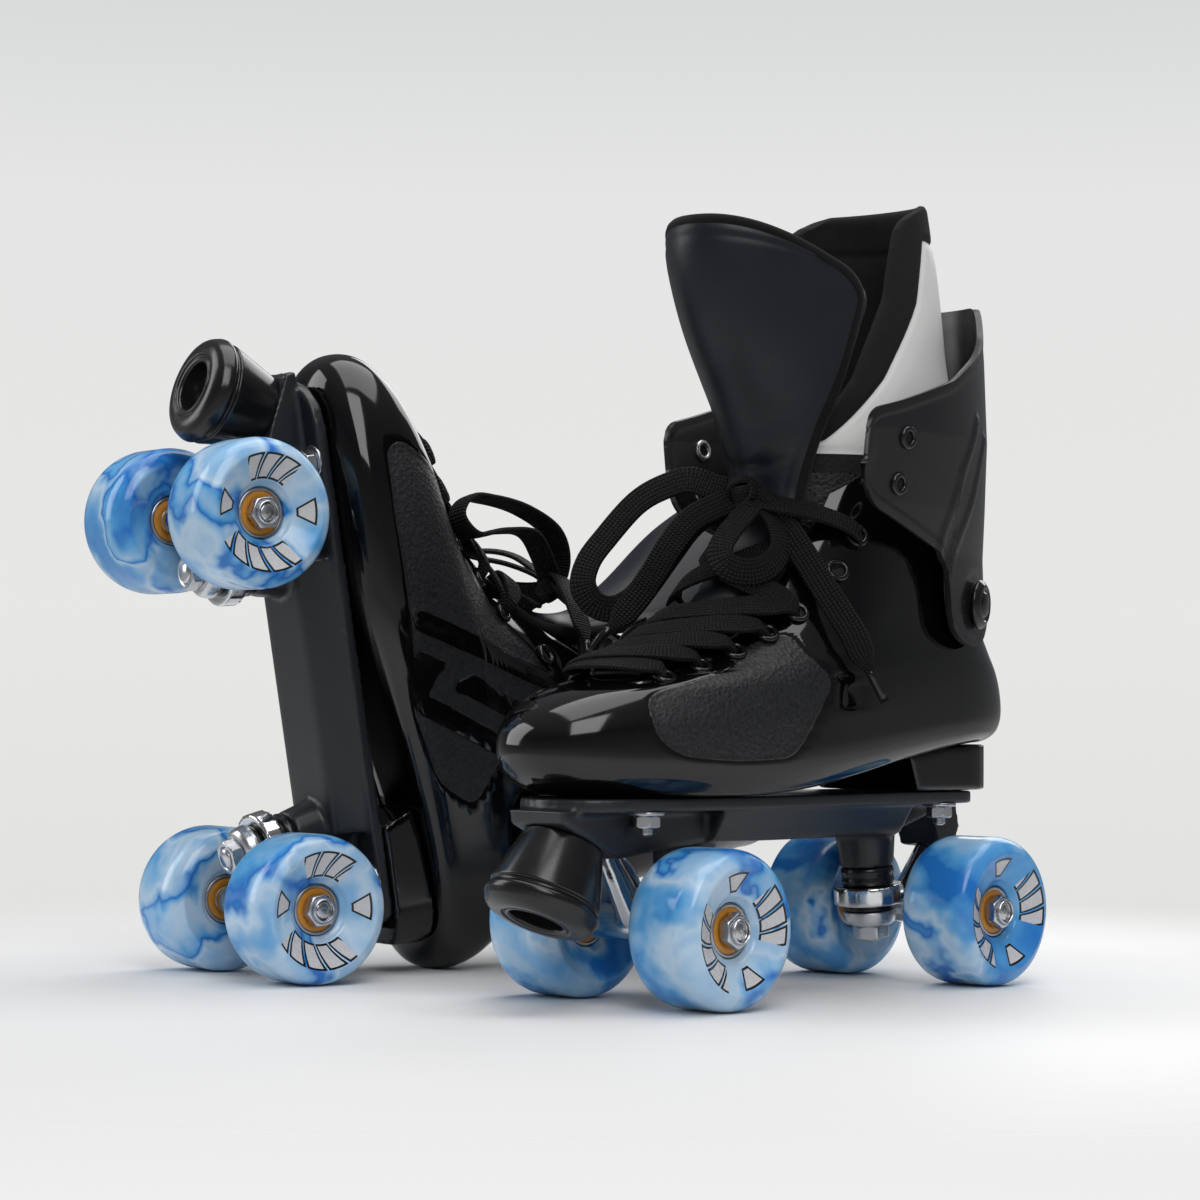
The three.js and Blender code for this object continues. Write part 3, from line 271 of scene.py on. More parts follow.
def finish_piece(piece_object, skate, replaces, body):
    if body:
        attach(piece_object, body)
    if replaces:
        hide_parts(*[skate.name(node) for node in replaces])


def outward(points, rows, cols, middle=None):
    """Unit normals of a grid of points, by differences along its rows and columns, away from the
    middle where one is given."""
    p = points.reshape(rows, cols, 3)
    normals = unit(np.cross(np.gradient(p, axis=1), np.gradient(p, axis=0))).reshape(-1, 3)
    if middle is not None and np.mean(np.sum(normals * (points - middle), axis=1)) < 0:
        return -normals
    return normals


# ---- Turned pieces ----------------------------------------------------------------------------


def axis_frame(origin, axis, start=(0, 0, 1)):
    """Origin and three unit vectors: the axis first, then two across it."""
    a = unit(axis)
    u = unit(np.cross(a, start) if abs(np.dot(a, unit(start))) < 0.98 else np.cross(a, (0, 1, 0)))
    return np.array(origin, float), a, u, np.cross(a, u)


def turned(profile, place, segments=72, closed=False):
    """A lathe of [radius, along] points about an axis frame: points and faces."""
    origin, axis, u, v = place
    p = np.array(profile, float)
    angle = np.arange(segments) * 2 * math.pi / segments
    ring = np.cos(angle)[:, None] * u + np.sin(angle)[:, None] * v
    points = origin + p[:, None, 1:2] * axis + p[:, None, 0:1] * ring[None]
    faces = grid_faces(len(p), segments, closed=True)
    if closed:
        last = (len(p) - 1) * segments
        for i in range(segments):
            j = (i + 1) % segments
            faces.append([last + i, last + j, j, i])
    return points.reshape(-1, 3), faces


def nut_profile(across_flats, height, bore):
    """Half a chamfered nut as a turned profile; the six flats are cut by nut()."""
    radius = across_flats / math.sqrt(3)
    return [(bore, 0), (radius - 1.2, 0), (radius, 0.8), (radius, height - 0.8), (radius - 1.2, height),
            (bore, height)]


def nut(place, across_flats, height, bore, segments=72):
    """A hexagon nut: a turned body whose skin is pulled in to six flats."""
    profile = rounded(nut_profile(across_flats, height, bore), [0, 0.5, 0.4, 0.4, 0.5, 0], 4)
    points, faces = turned(profile, place, segments, closed=True)
    origin, axis, u, v = place
    rel = points - origin
    a, b, along = rel @ u, rel @ v, rel @ axis
    radius = np.hypot(a, b)
    angle = np.arctan2(b, a)
    sector = math.pi / 3
    off = (angle + sector / 2) % sector - sector / 2
    limit = across_flats / 2 / np.cos(off)
    scale = np.minimum(radius, limit) / np.maximum(radius, 1e-9)
    return origin + along[:, None] * axis + (a * scale)[:, None] * u + (b * scale)[:, None] * v, faces


def threaded(place, radius, low, high, pitch=1.25):
    """A threaded tip: fine turns as a rippled profile with a chamfered end."""
    turns = int((high - low) / pitch)
    profile = [(0, low), (radius - 0.5, low)]
    for k in range(turns):
        start = low + k * pitch
        profile += [(radius - 0.55, start + 0.1), (radius, start + pitch * 0.5)]
    profile += [(radius - 0.5, high - 0.6), (radius - 1.4, high), (0, high)]
    return turned(profile, place, 32)


def joined(*shapes):
    """Several (points, faces) as one."""
    points, faces, count = [], [], 0
    for shape_points, shape_faces in shapes:
        points.append(shape_points)
        faces += [[i + count for i in f] for f in shape_faces]
        count += len(shape_points)
    return np.vstack(points), faces


# ---- Node helpers -----------------------------------------------------------------------------


class Tree:
    """Short calls for building a node tree."""

    def __init__(self, tree):
        self.tree = tree

    def feed(self, socket, value):
        """Links a socket to an input, or sets the input's value."""
        if isinstance(value, bpy.types.NodeSocket):
            self.tree.links.new(value, socket)
        else:
            socket.default_value = value

    def parts(self, vector):
        """The X, Y and Z of a vector."""
        n = self.tree.nodes.new("ShaderNodeSeparateXYZ")
        self.feed(n.inputs[0], vector)
        return n.outputs

    def node(self, kind, *inputs, out=0, **settings):
        """Adds a node; inputs are sockets or values in order, or (name, value) pairs."""
        n = self.tree.nodes.new(kind)
        for key, value in settings.items():
            setattr(n, key, value)
        for place, item in enumerate(inputs):
            if item is None:
                continue
            key, value = item if isinstance(item, tuple) and isinstance(item[0], str) else (place, item)
            self.feed(n.inputs[key], value)
        return n.outputs[out]

    def math(self, operation, *inputs):
        return self.node("ShaderNodeMath", *inputs, operation=operation)

    def vector(self, operation, *inputs, out=0):
        return self.node("ShaderNodeVectorMath", *inputs, operation=operation, out=out)

    def noise(self, vector, scale, detail=3.0, rough=0.5, distortion=0.0, out=0):
        return self.node("ShaderNodeTexNoise", ("Vector", vector), ("Scale", scale), ("Detail", detail),
                         ("Roughness", rough), ("Distortion", distortion), out=out)

    def band(self, value, low, high, to_low=0.0, to_high=1.0, smooth=False):
        return self.node("ShaderNodeMapRange", ("Value", value), ("From Min", low), ("From Max", high),
                         ("To Min", to_low), ("To Max", to_high),
                         interpolation_type="SMOOTHSTEP" if smooth else "LINEAR")

    def ramp(self, value, stops):
        n = self.tree.nodes.new("ShaderNodeValToRGB")
        elements = n.color_ramp.elements
        while len(elements) < len(stops):
            elements.new(0.5)
        for element, (place, color) in zip(elements, stops):
            element.position = place
            element.color = (*color, 1)
        self.tree.links.new(value, n.inputs[0])
        return n.outputs[0]

    def mixed(self, factor, a, b):
        n = self.tree.nodes.new("ShaderNodeMix")
        n.data_type = "RGBA"
        for socket, value in ((n.inputs["Factor"], factor), (n.inputs[6], a), (n.inputs[7], b)):
            self.feed(socket, (*value, 1) if isinstance(value, tuple) else value)
        return n.outputs[2]

    def attribute(self, name, out="Vector"):
        n = self.tree.nodes.new("ShaderNodeAttribute")
        n.attribute_name = name
        return n.outputs[out]


class Material(Tree):
    """A Principled material with named uniform values."""

    def __init__(self, name, color, roughness, **values):
        self.material = bpy.data.materials.new(name)
        self.material.use_nodes = True
        super().__init__(self.material.node_tree)
        self.shader = self.tree.nodes["Principled BSDF"]
        self.set("Base Color", color)
        self.set("Roughness", roughness)
        for key, value in values.items():
            self.set(key.replace("_", " "), value)

    def set(self, key, value):
        self.feed(self.shader.inputs[key], (*value, 1) if isinstance(value, tuple) else value)

    def bump(self, height, strength, distance):
        self.set("Normal", self.node("ShaderNodeBump", ("Strength", strength), ("Distance", distance),
                                     ("Height", height)))

    def group(self, group, **inputs):
        n = self.tree.nodes.new("ShaderNodeGroup")
        n.node_tree = group
        for key, value in inputs.items():
            self.feed(n.inputs[key], value)
        return n.outputs[0]


def add_inputs(tree, inputs):
    """Gives a node group its inputs: {name: (type, default)}."""
    for key, (kind, default) in inputs.items():
        socket = tree.interface.new_socket(key, in_out="INPUT", socket_type=kind)
        if default is not None:
            socket.default_value = default


def node_group(name, inputs, outputs, build):
    """A shared shader effect: inputs are {name: (type, default)}, outputs a list of names."""
    tree = bpy.data.node_groups.new(name, "ShaderNodeTree")
    add_inputs(tree, inputs)
    for key in outputs:
        tree.interface.new_socket(key, in_out="OUTPUT", socket_type="NodeSocketFloat")
    start = tree.nodes.new("NodeGroupInput")
    end = tree.nodes.new("NodeGroupOutput")
    results = build(Tree(tree), start.outputs)
    for key, value in zip(outputs, results):
        tree.links.new(value, end.inputs[key])
    return tree


FLOAT, VECTOR = "NodeSocketFloat", "NodeSocketVector"


def grain_effect():
    """Moulded or tanned grain: small rounded cells of two sizes."""
    def build(t, inputs):
        fine = t.noise(inputs["Vector"], inputs["Scale"], 4.0, 0.65)
        cells = t.node("ShaderNodeTexVoronoi", ("Vector", inputs["Vector"]), ("Scale", inputs["Scale"]))
        return [t.math("ADD", t.math("MULTIPLY", fine, 0.6), t.math("MULTIPLY", cells, 0.5))]
    return node_group("grain", {"Vector": (VECTOR, None), "Scale": (FLOAT, 600.0)}, ["Height"], build)


def smudge_effect():
    """Slow changes of polish, with a few finer rubbed patches."""
    def build(t, inputs):
        slow = t.noise(inputs["Vector"], 14.0, 3.0, 0.5, 0.6)
        rubbed = t.noise(inputs["Vector"], 90.0, 5.0, 0.7)
        both = t.math("MULTIPLY", slow, rubbed)
        spread = t.band(both, 0.12, 0.42)
        return [t.math("MULTIPLY_ADD", spread, inputs["Spread"], inputs["Base"])]
    return node_group("polish", {"Vector": (VECTOR, None), "Base": (FLOAT, 0.1), "Spread": (FLOAT, 0.1)},
                      ["Roughness"], build)


def weave_effect():
    """A flat woven lace: knitted ribs along it, each a row of slanted stitches. U and V in metres."""
    def build(t, inputs):
        ribs = t.math("MULTIPLY", inputs["Across"], inputs["Ribs"])
        slant = t.math("PINGPONG", ribs, 0.5)
        along = t.math("MULTIPLY", inputs["Along"], inputs["Stitches"])
        phase = t.math("ADD", along, t.math("MULTIPLY", slant, 0.5))
        stitch = t.math("SINE", t.math("MULTIPLY", phase, 2 * math.pi))
        rib = t.math("ABSOLUTE", t.math("SINE", t.math("MULTIPLY", ribs, math.pi)))
        return [t.math("MULTIPLY", t.math("MULTIPLY_ADD", stitch, 0.5, 0.5), t.math("POWER", rib, 0.9))]
    return node_group("flat_weave", {"Along": (FLOAT, 0.0), "Across": (FLOAT, 0.0), "Ribs": (FLOAT, 11.0),
                                     "Stitches": (FLOAT, 620.0)}, ["Height"], build)


def felt_effect():
    """Short matted fibres."""
    def build(t, inputs):
        fibres = t.noise(inputs["Vector"], 1500.0, 4.0, 0.8, 2.0)
        clumps = t.noise(inputs["Vector"], 260.0, 3.0, 0.6)
        return [t.math("ADD", t.math("MULTIPLY", fibres, 0.7), t.math("MULTIPLY", clumps, 0.5))]
    return node_group("felt", {"Vector": (VECTOR, None)}, ["Height"], build)


GRAIN, POLISH, WEAVE, FELT = grain_effect(), smudge_effect(), weave_effect(), felt_effect()


# ---- Materials --------------------------------------------------------------------------------


def boot_material():
    """Glossy black moulded plastic, with a sanded panel where the mask says, and the vent slot painted
    near-black: painted shade of its opening.
    """
    m = Material("boot_plastic", (0.006, 0.006, 0.007), 0.1, IOR=1.5)
    local = m.attribute("local")
    sanded = m.band(m.attribute("panel", "Fac"), 0.1, 0.7)
    slot = m.band(m.attribute("vent", "Fac"), 0.1, 0.6)
    polish = m.group(POLISH, Vector=local, Base=0.05, Spread=0.07)
    m.set("Roughness", m.math("MULTIPLY_ADD", m.math("MAXIMUM", sanded, slot), 0.42, polish))
    speckle = m.mixed(m.band(m.noise(local, 700.0, 2.0), 0.35, 0.65), (0.002, 0.0022, 0.0027),
                      (0.0125, 0.0132, 0.0155))
    finish = m.mixed(sanded, (0.002, 0.002, 0.0024), speckle)
    # The vent slot is painted near-black: painted shade standing for the inside of the opening.
    m.set("Base Color", m.mixed(slot, finish, (0.001, 0.001, 0.001)))
    height = m.math("MULTIPLY", m.group(GRAIN, Vector=local, Scale=560.0), m.math("MULTIPLY", sanded, 1.6))
    ripple = m.math("MULTIPLY", m.noise(local, 28.0, 2.0), 0.1)
    m.bump(m.math("ADD", height, ripple), 0.5, 0.0006)
    return m.material


def satin_material(name, color, low, spread, grain, strength):
    m = Material(name, color, low, IOR=1.48)
    local = m.attribute("local")
    m.set("Roughness", m.group(POLISH, Vector=local, Base=low, Spread=spread))
    tone = m.noise(local, 22.0, 3.0)
    m.set("Base Color", m.mixed(tone, color, tuple(c * 1.7 for c in color)))
    m.bump(m.group(GRAIN, Vector=local, Scale=grain), strength, 0.0004)
    return m.material


def metal_material(name, color, low, spread, grain=1400.0, strength=0.06):
    m = Material(name, color, low, Metallic=1.0)
    local = m.attribute("local")
    m.set("Roughness", m.group(POLISH, Vector=local, Base=low, Spread=spread))
    tone = m.noise(local, 160.0, 4.0, 0.6)
    m.set("Base Color", m.mixed(tone, tuple(c * 0.82 for c in color), color))
    m.bump(m.group(GRAIN, Vector=local, Scale=grain), strength, 0.0003)
    return m.material


def lace_material():
    m = Material("lace_weave", (0.006, 0.006, 0.007), 0.66, Specular_IOR_Level=0.25)
    uv = m.parts(m.node("ShaderNodeUVMap", uv_map="UVMap"))
    height = m.group(WEAVE, Along=uv[0], Across=uv[1], Ribs=7.0, Stitches=690.0)
    # Darker in the weave's gaps and at the lace's edges, lighter on its ribs: painted shade, set by the
    # weave's height.
    m.set("Base Color", m.mixed(m.band(height, 0.1, 0.75), (0.0002, 0.0002, 0.0002),
                                (0.014, 0.014, 0.0145)))
    m.bump(height, 1.0, 0.0018)
    return m.material


def felt_material(name, color):
    m = Material(name, color, 0.9, Sheen_Weight=0.06, Sheen_Roughness=0.5, Specular_IOR_Level=0.2)
    height = m.group(FELT, Vector=m.attribute("local"))
    m.set("Base Color", m.mixed(height, tuple(c * 0.5 for c in color), tuple(c * 1.6 for c in color)))
    m.bump(height, 0.6, 0.0006)
    return m.material


def liner_material():
    """White coated outer face, black felt rim and lining, and black mesh low on the sides, its holes painted
    near-black as painted shade.
    """
    m = Material("liner_fabric", (0.8, 0.8, 0.79), 0.5, Specular_IOR_Level=0.3)
    local = m.attribute("local")
    felt = m.band(m.attribute("felt", "Fac"), -0.2, 0.2)
    mesh = m.band(m.attribute("mesh", "Fac"), -0.2, 0.2)
    fibres = m.group(FELT, Vector=local)
    weave = m.node("ShaderNodeTexVoronoi", ("Vector", local), ("Scale", 420.0), feature="DISTANCE_TO_EDGE")
    holes_with_painted_shade = m.band(weave, 0.1, 0.28)
    coated = m.mixed(m.noise(local, 30.0, 3.0), (0.76, 0.76, 0.74), (0.84, 0.84, 0.83))
    black = m.mixed(fibres, (0.003, 0.003, 0.0033), (0.017, 0.017, 0.018))
    # The mesh's holes are painted near-black, darker than its threads: painted shade seen through the net.
    net = m.mixed(holes_with_painted_shade, (0.016, 0.016, 0.0165), (0.001, 0.001, 0.001))
    m.set("Base Color", m.mixed(felt, m.mixed(mesh, coated, net), black))
    m.set("Roughness", m.math("MULTIPLY_ADD", felt, 0.4, 0.5))
    soft = m.math("MULTIPLY", fibres, felt)
    netted = m.math("MULTIPLY", holes_with_painted_shade, m.math("MULTIPLY", mesh, -1.0))
    uneven = m.math("MULTIPLY", m.noise(local, 60.0), 0.15)
    m.bump(m.math("ADD", m.math("ADD", soft, netted), uneven), 0.5, 0.0008)
    return m.material


def tongue_material():
    m = Material("tongue_leather", (0.008, 0.01, 0.016), 0.42, Specular_IOR_Level=0.38)
    local = m.attribute("local")
    m.set("Roughness", m.group(POLISH, Vector=local, Base=0.36, Spread=0.12))
    m.set("Base Color", m.mixed(m.noise(local, 45.0, 3.0), (0.003, 0.004, 0.0078),
                                (0.0062, 0.0082, 0.0142)))
    m.bump(m.group(GRAIN, Vector=local, Scale=1500.0), 0.1, 0.0005)
    return m.material


def wheel_material():
    """Poured urethane in swirled blues and white, with printed shapes on the outer face.

    The attribute "disc" holds the place on the wheel: X along the axle, Y and Z across it."""
    m = Material("wheel_urethane", (0.3, 0.6, 0.9), 0.16, IOR=1.5, Subsurface_Weight=0.12,
                 Subsurface_Scale=0.004)
    disc = m.attribute("disc")
    seed = m.attribute("pour", "Fac")
    offset = m.node("ShaderNodeCombineXYZ", seed, seed, seed)
    place = m.vector("ADD", disc, offset)
    warp = m.noise(place, 34.0, 3.0, 0.5, 0.0, out=1)
    push = m.vector("SCALE", m.vector("SUBTRACT", warp, (0.5, 0.5, 0.5)), ("Scale", 0.05))
    swirled = m.vector("ADD", place, push)
    veins = m.noise(swirled, 13.0, 1.5, 0.4, 1.3)
    color = m.ramp(veins, [(0.3, (0.02, 0.19, 0.6)), (0.38, (0.1, 0.38, 0.75)), (0.45, (0.3, 0.54, 0.8)),
                           (0.51, (0.52, 0.69, 0.86)), (0.56, (0.24, 0.5, 0.8)), (0.6, (0.012, 0.17, 0.6)),
                           (0.65, (0.1, 0.4, 0.76)), (0.78, (0.5, 0.68, 0.86))])
    _, y, z = m.parts(disc)
    radius = m.math("SQRT", m.math("ADD", m.math("MULTIPLY", y, y), m.math("MULTIPLY", z, z)))
    angle = m.math("ARCTAN2", z, y)
    printed = m.attribute("printed", "Fac")
    ink, edge = wheel_print(m, radius, angle)
    ink = m.math("MULTIPLY", ink, printed)
    edge = m.math("MULTIPLY", edge, printed)
    outlined = m.mixed(edge, color, (0.008, 0.008, 0.01))
    silver = m.mixed(m.noise(disc, 900.0), (0.5, 0.5, 0.52), (0.72, 0.72, 0.74))
    m.set("Base Color", m.mixed(ink, outlined, silver))
    polish = m.group(POLISH, Vector=disc, Base=0.13, Spread=0.08)
    m.set("Roughness", m.math("MULTIPLY_ADD", edge, 0.12, polish))
    return m.material


PRINT_INNER, PRINT_OUTER = 14.6 * MM, 25.4 * MM  # radii of the printed band on a wheel's face
PRINT_LINE = 0.9 * MM
# Each arc of bars: its middle and half its spread in radians, how many bars, and how they lean.
PRINT_ARCS = ((0.35, 0.85, 4, 22.0), (3.4, 0.55, 3, -18.0))
PRINT_WEDGES = (1.9, -1.45)  # where the wedges stand, in radians


def wheel_print(m, radius, angle):
    """Masks of the printed shapes: leaning bars along two arcs and two small wedges."""
    def arc(centre, half, bars, lean):
        """Bars spread over an arc of the band, each bent and leaning."""
        turn = m.math("SUBTRACT", angle, centre)
        wrapped = m.math("WRAP", turn, math.pi, -math.pi)
        leaned = m.math("MULTIPLY_ADD", m.math("SUBTRACT", radius, PRINT_INNER), lean, wrapped)
        within = m.math("COMPARE", wrapped, 0.0, half)
        cell = m.math("PINGPONG", m.math("MULTIPLY", leaned, bars / (2 * half)), 0.5)
        return within, cell

    mid = (PRINT_INNER + PRINT_OUTER) / 2
    deep = (PRINT_OUTER - PRINT_INNER) / 2
    inks, edges = [], []
    for centre, half, bars, lean in PRINT_ARCS:
        within, cell = arc(centre, half, bars, lean)
        for extra, out in ((0.0, inks), (PRINT_LINE, edges)):
            band = m.math("COMPARE", radius, mid, deep * 0.86 + extra)
            bar = m.math("GREATER_THAN", cell, 0.16 - extra * 130)
            out.append(m.math("MULTIPLY", m.math("MULTIPLY", within, band), bar))
    for centre in PRINT_WEDGES:
        turn = m.math("WRAP", m.math("SUBTRACT", angle, centre), math.pi, -math.pi)
        reach = m.math("ABSOLUTE", m.math("MULTIPLY", turn, radius))
        rise = m.math("SUBTRACT", radius, PRINT_INNER + 1.5 * MM)
        for extra, out in ((0.0, inks), (PRINT_LINE, edges)):
            wide = m.math("LESS_THAN", reach, m.math("MULTIPLY_ADD", rise, 0.55, 1.2 * MM + extra))
            band = m.math("COMPARE", rise, 3.4 * MM, 3.2 * MM + extra)
            out.append(m.math("MULTIPLY", wide, band))
    total = []
    for parts in (inks, edges):
        value = parts[0]
        for part in parts[1:]:
            value = m.math("MAXIMUM", value, part)
        total.append(value)
    return total


def bearing_material():
    """Amber nylon shield between polished steel rings, by radius on the face."""
    m = Material("bearing_shield", (0.6, 0.25, 0.03), 0.35)
    ring = m.attribute("steel", "Fac")
    local = m.attribute("local")
    amber = m.mixed(m.noise(local, 700.0, 3.0), (0.42, 0.15, 0.012), (0.68, 0.3, 0.03))
    m.set("Base Color", m.mixed(ring, amber, (0.42, 0.42, 0.43)))
    m.set("Metallic", ring)
    m.set("Roughness", m.group(POLISH, Vector=local, Base=0.25, Spread=0.15))
    m.bump(m.noise(local, 2200.0, 3.0), 0.08, 0.0002)
    return m.material


BOOT = boot_material()
CUFF = satin_material("cuff_plastic", (0.0085, 0.0085, 0.0095), 0.26, 0.1, 1300.0, 0.12)
NYLON = satin_material("plate_nylon", (0.011, 0.012, 0.0145), 0.3, 0.14, 1000.0, 0.1)
RUBBER = satin_material("stop_rubber", (0.0055, 0.0055, 0.006), 0.17, 0.12, 800.0, 0.06)
CHROME = metal_material("truck_chrome", (0.72, 0.73, 0.74), 0.07, 0.1)
ZINC = metal_material("hardware_zinc", (0.62, 0.63, 0.65), 0.2, 0.16)
LACE = lace_material()
FELT_BLACK = felt_material("felt_edge", (0.005, 0.005, 0.0055))
LINER = liner_material()
TONGUE = tongue_material()
WHEEL = wheel_material()
BEARING = bearing_material()
GLOSS = satin_material("eyelet_gloss", (0.006, 0.006, 0.0065), 0.07, 0.06, 1600.0, 0.03)
# Near-black discs laid in the eyelet holes: painted shade.
HOLE_SHADE = Material("painted_hole_shade", (0.001, 0.001, 0.001), 0.8).material
THREAD = felt_material("stitch_thread", (0.02, 0.02, 0.024))

# ---- Boot outline, as in part.mjs -------------------------------------------------------------

# Rings of the boot from the sole up: its front and its back as [share of the length, share of the
# height], then its half-width at the ball and at the heel.
STATIONS = [
    [[0.14, 0.0], [0.925, 0.0], 0.68, 0.6],
    [[0.07, 0.01], [0.968, 0.01], 0.88, 0.76],
    [[0.024, 0.055], [0.994, 0.04], 0.97, 0.83],
    [[0.007, 0.115], [1.003, 0.09], 1.0, 0.86],
    [[0.01, 0.178], [1.0, 0.158], 1.0, 0.86],
    [[0.032, 0.233], [0.988, 0.22], 0.98, 0.86],
    [[0.074, 0.281], [0.968, 0.281], 0.95, 0.85],
    [[0.14, 0.315], [0.951, 0.336], 0.91, 0.83],
    [[0.225, 0.356], [0.937, 0.391], 0.87, 0.81],
    [[0.302, 0.418], [0.926, 0.445], 0.84, 0.8],
    [[0.372, 0.5], [0.919, 0.5], 0.82, 0.8],
    [[0.428, 0.603], [0.914, 0.568], 0.81, 0.8],
    [[0.474, 0.726], [0.912, 0.637], 0.81, 0.81],
    [[0.516, 0.85], [0.91, 0.712], 0.82, 0.82],
    [[0.562, 1.0], [0.908, 0.808], 0.84, 0.84],
]
SOLE_HEIGHT = PLATE_TOP + GAP
TOE_ROUNDNESS, HEEL_ROUNDNESS = 2.35, 3
TOE_BEND = 5
LAST_STATION = len(STATIONS) - 1


def along_boot(share):
    return HEEL_BACK - BOOT_LENGTH * (1 - np.asarray(share, float))


def up_boot(share):
    return SOLE_HEIGHT + BOOT_HEIGHT * np.asarray(share, float)


def across_boot(share):
    return BOOT_WIDTH / 2 * np.asarray(share, float)


FRONT_LINE = [[0, along_boot(f[0]), up_boot(f[1])] for f, _, _, _ in STATIONS]
BACK_LINE = [[0, along_boot(b[0]), up_boot(b[1]) + HEEL_RISE] for _, b, _, _ in STATIONS]
WIDTH_LINE = [[across_boot(ball), across_boot(heel), 0] for _, _, ball, heel in STATIONS]


def profile_point(line, station, inset, inward):
    here = catmull(line, station)
    tangent = unit(catmull(line, station + 0.01) - catmull(line, station - 0.01))
    across = np.stack([0 * tangent[..., 0], tangent[..., 2], -tangent[..., 1]], axis=-1)
    return here + inset * inward * across


def boot_point(station, angle, inset=0.0):
    """Points of the boot's skin: station up from the sole, angle from the front (0) to +X."""
    station, angle, inset = np.broadcast_arrays(*(np.asarray(v, float) for v in (station, angle, inset)))
    front = profile_point(FRONT_LINE, station, inset[..., None], 1)
    back = profile_point(BACK_LINE, station, inset[..., None], -1)
    widths = catmull(WIDTH_LINE, station)
    forward, sideways = np.cos(angle), np.sin(angle)
    power = 2 / np.where(forward > 0, TOE_ROUNDNESS, HEEL_ROUNDNESS)
    u = (1 - np.sign(forward) * np.abs(forward) ** power) / 2
    across = np.sign(sideways) * np.abs(sideways) ** power
    half = mix(widths[..., 0], widths[..., 1], ease(u, 0.35, 0.8)) - inset
    flatness = 1 - ease(station, 0, 8)
    rise = mix(u, ease(u, 0.25, 0.95), flatness)
    bend = -TOE_BEND * (1 - ease(u, 0, 0.5)) * (1 - ease(station, 5, 8))
    y = mix(front[..., 1], back[..., 1], u)
    z = mix(front[..., 2], back[..., 2], rise)
    return np.stack([across * half + bend, y, z], axis=-1)


def angle_at(station, x):
    """The angle where the skin at a station is x from the boot's middle plane."""
    station, x = np.broadcast_arrays(np.asarray(station, float), np.asarray(x, float))
    low, high = np.zeros(station.shape), np.full(station.shape, math.pi / 2)
    for _ in range(24):
        middle = (low + high) / 2
        short = boot_point(station, middle)[..., 0] < x
        low, high = np.where(short, middle, low), np.where(short, high, middle)
    return low


THROAT_TOE, THROAT_TOP = float(along_boot(0.165)), float(along_boot(0.66))


def throat_half_width(station):
    y = catmull(FRONT_LINE, station)[..., 1]
    return mix(THROAT_TOE_HALF_WIDTH, THROAT_HALF_WIDTH, (y - THROAT_TOE) / (THROAT_TOP - THROAT_TOE))


def throat_angle(station, beyond=0.0):
    return angle_at(station, throat_half_width(station) + beyond)


# ---- Boot shell -------------------------------------------------------------------------------

SIDE_COLUMNS = 112
SHELL_ROWS = 116
SOLE_ROWS = 8
THROAT_TOE_DEPTH = THROAT_TOE_HALF_WIDTH * 0.6
TOP_CUT = [(-60, 260), (along_boot(0.6), 240), (along_boot(0.64), 222), (along_boot(0.72), up_boot(0.8)),
           (along_boot(0.82), up_boot(0.72)), (along_boot(1.1), up_boot(0.69))]
# The sanded panels on the two sides, and the polished stripes that cross the inner one.
OUTER_PANEL = [(-112, 124), (-113, 110), (-101, 101), (-74, 99), (-45, 100), (-36, 110), (-27, 122),
               (-17, 132.5), (-29, 143), (-32, 152), (-49, 149), (-65, 138), (-88, 132), (-105, 128)]
INNER_PANEL = [(-109, 112), (-106, 103), (-78, 100), (-12, 100), (10, 98), (45, 107), (59, 125),
               (22, 159), (10, 180), (-6, 172), (-30, 150), (-65, 138), (-96, 128)]
STRIPES = [((-28, 106), (10, 176)), ((-10, 104), (24, 160)), ((8, 102), (38, 148))]
STRIPE_HALF_WIDTH = 4.2
# The vent slot on the outer side: sunk into the shell, and painted near-black in the boot plastic as painted
# shade.
VENT = ((-11, 123), (-11, 133))
VENT_HALF_WIDTH = 2.6


def throat_width(y):
    """Half the width of the throat's cut at a distance y: a round toe, then straight sides."""
    turn = 1 - np.sqrt(np.clip((y - THROAT_TOE) / THROAT_TOE_DEPTH, 0, 1))
    toe = THROAT_TOE_HALF_WIDTH * (1 - turn ** 2)
    sides = mix(THROAT_TOE_HALF_WIDTH, THROAT_HALF_WIDTH, (y - THROAT_TOE) / (THROAT_TOP - THROAT_TOE))
    return np.where(y < THROAT_TOE, 0, np.where(y < THROAT_TOE + THROAT_TOE_DEPTH, toe, sides))


def edge_angles(stations, side):
    """The angle at which the skin leaves the throat's cut, on the +X (1) or -X (-1) side."""
    low, high = np.zeros(len(stations)), np.full(len(stations), 2.0)
    for _ in range(26):
        middle = (low + high) / 2
        p = boot_point(stations, side * middle)
        wide = throat_width(p[:, 1])
        inside = (p[:, 0] * side < wide) & (wide > 0)
        low, high = np.where(inside, middle, low), np.where(inside, high, middle)
    return np.where(low < 1e-5, 0, low)


def segment_distance(points, a, b):
    a, b = np.array(a, float), np.array(b, float)
    t = np.clip(((points - a) @ (b - a)) / ((b - a) @ (b - a)), 0, 1)
    return np.linalg.norm(points - a - t[:, None] * (b - a), axis=1)


def outline_distance(points, outline):
    """Signed distance of [y, z] points to a closed outline, negative inside."""
    near = np.full(len(points), 1e9)
    inside = np.zeros(len(points), bool)
    for a, b in zip(outline, outline[1:] + outline[:1]):
        near = np.minimum(near, segment_distance(points, a, b))
        crosses = (a[1] > points[:, 1]) != (b[1] > points[:, 1])
        at = a[0] + (points[:, 1] - a[1]) * (b[0] - a[0]) / (b[1] - a[1] if b[1] != a[1] else 1e-9)
        inside ^= crosses & (points[:, 0] < at)
    return np.where(inside, -near, near)


def smooth_outline(outline, radius):
    """A closed outline with its corners rounded."""
    loop = [outline[-1]] + list(outline) + [outline[0]]
    return [tuple(p) for p in rounded(loop, [radius] * len(loop), 5)[1:-1]]


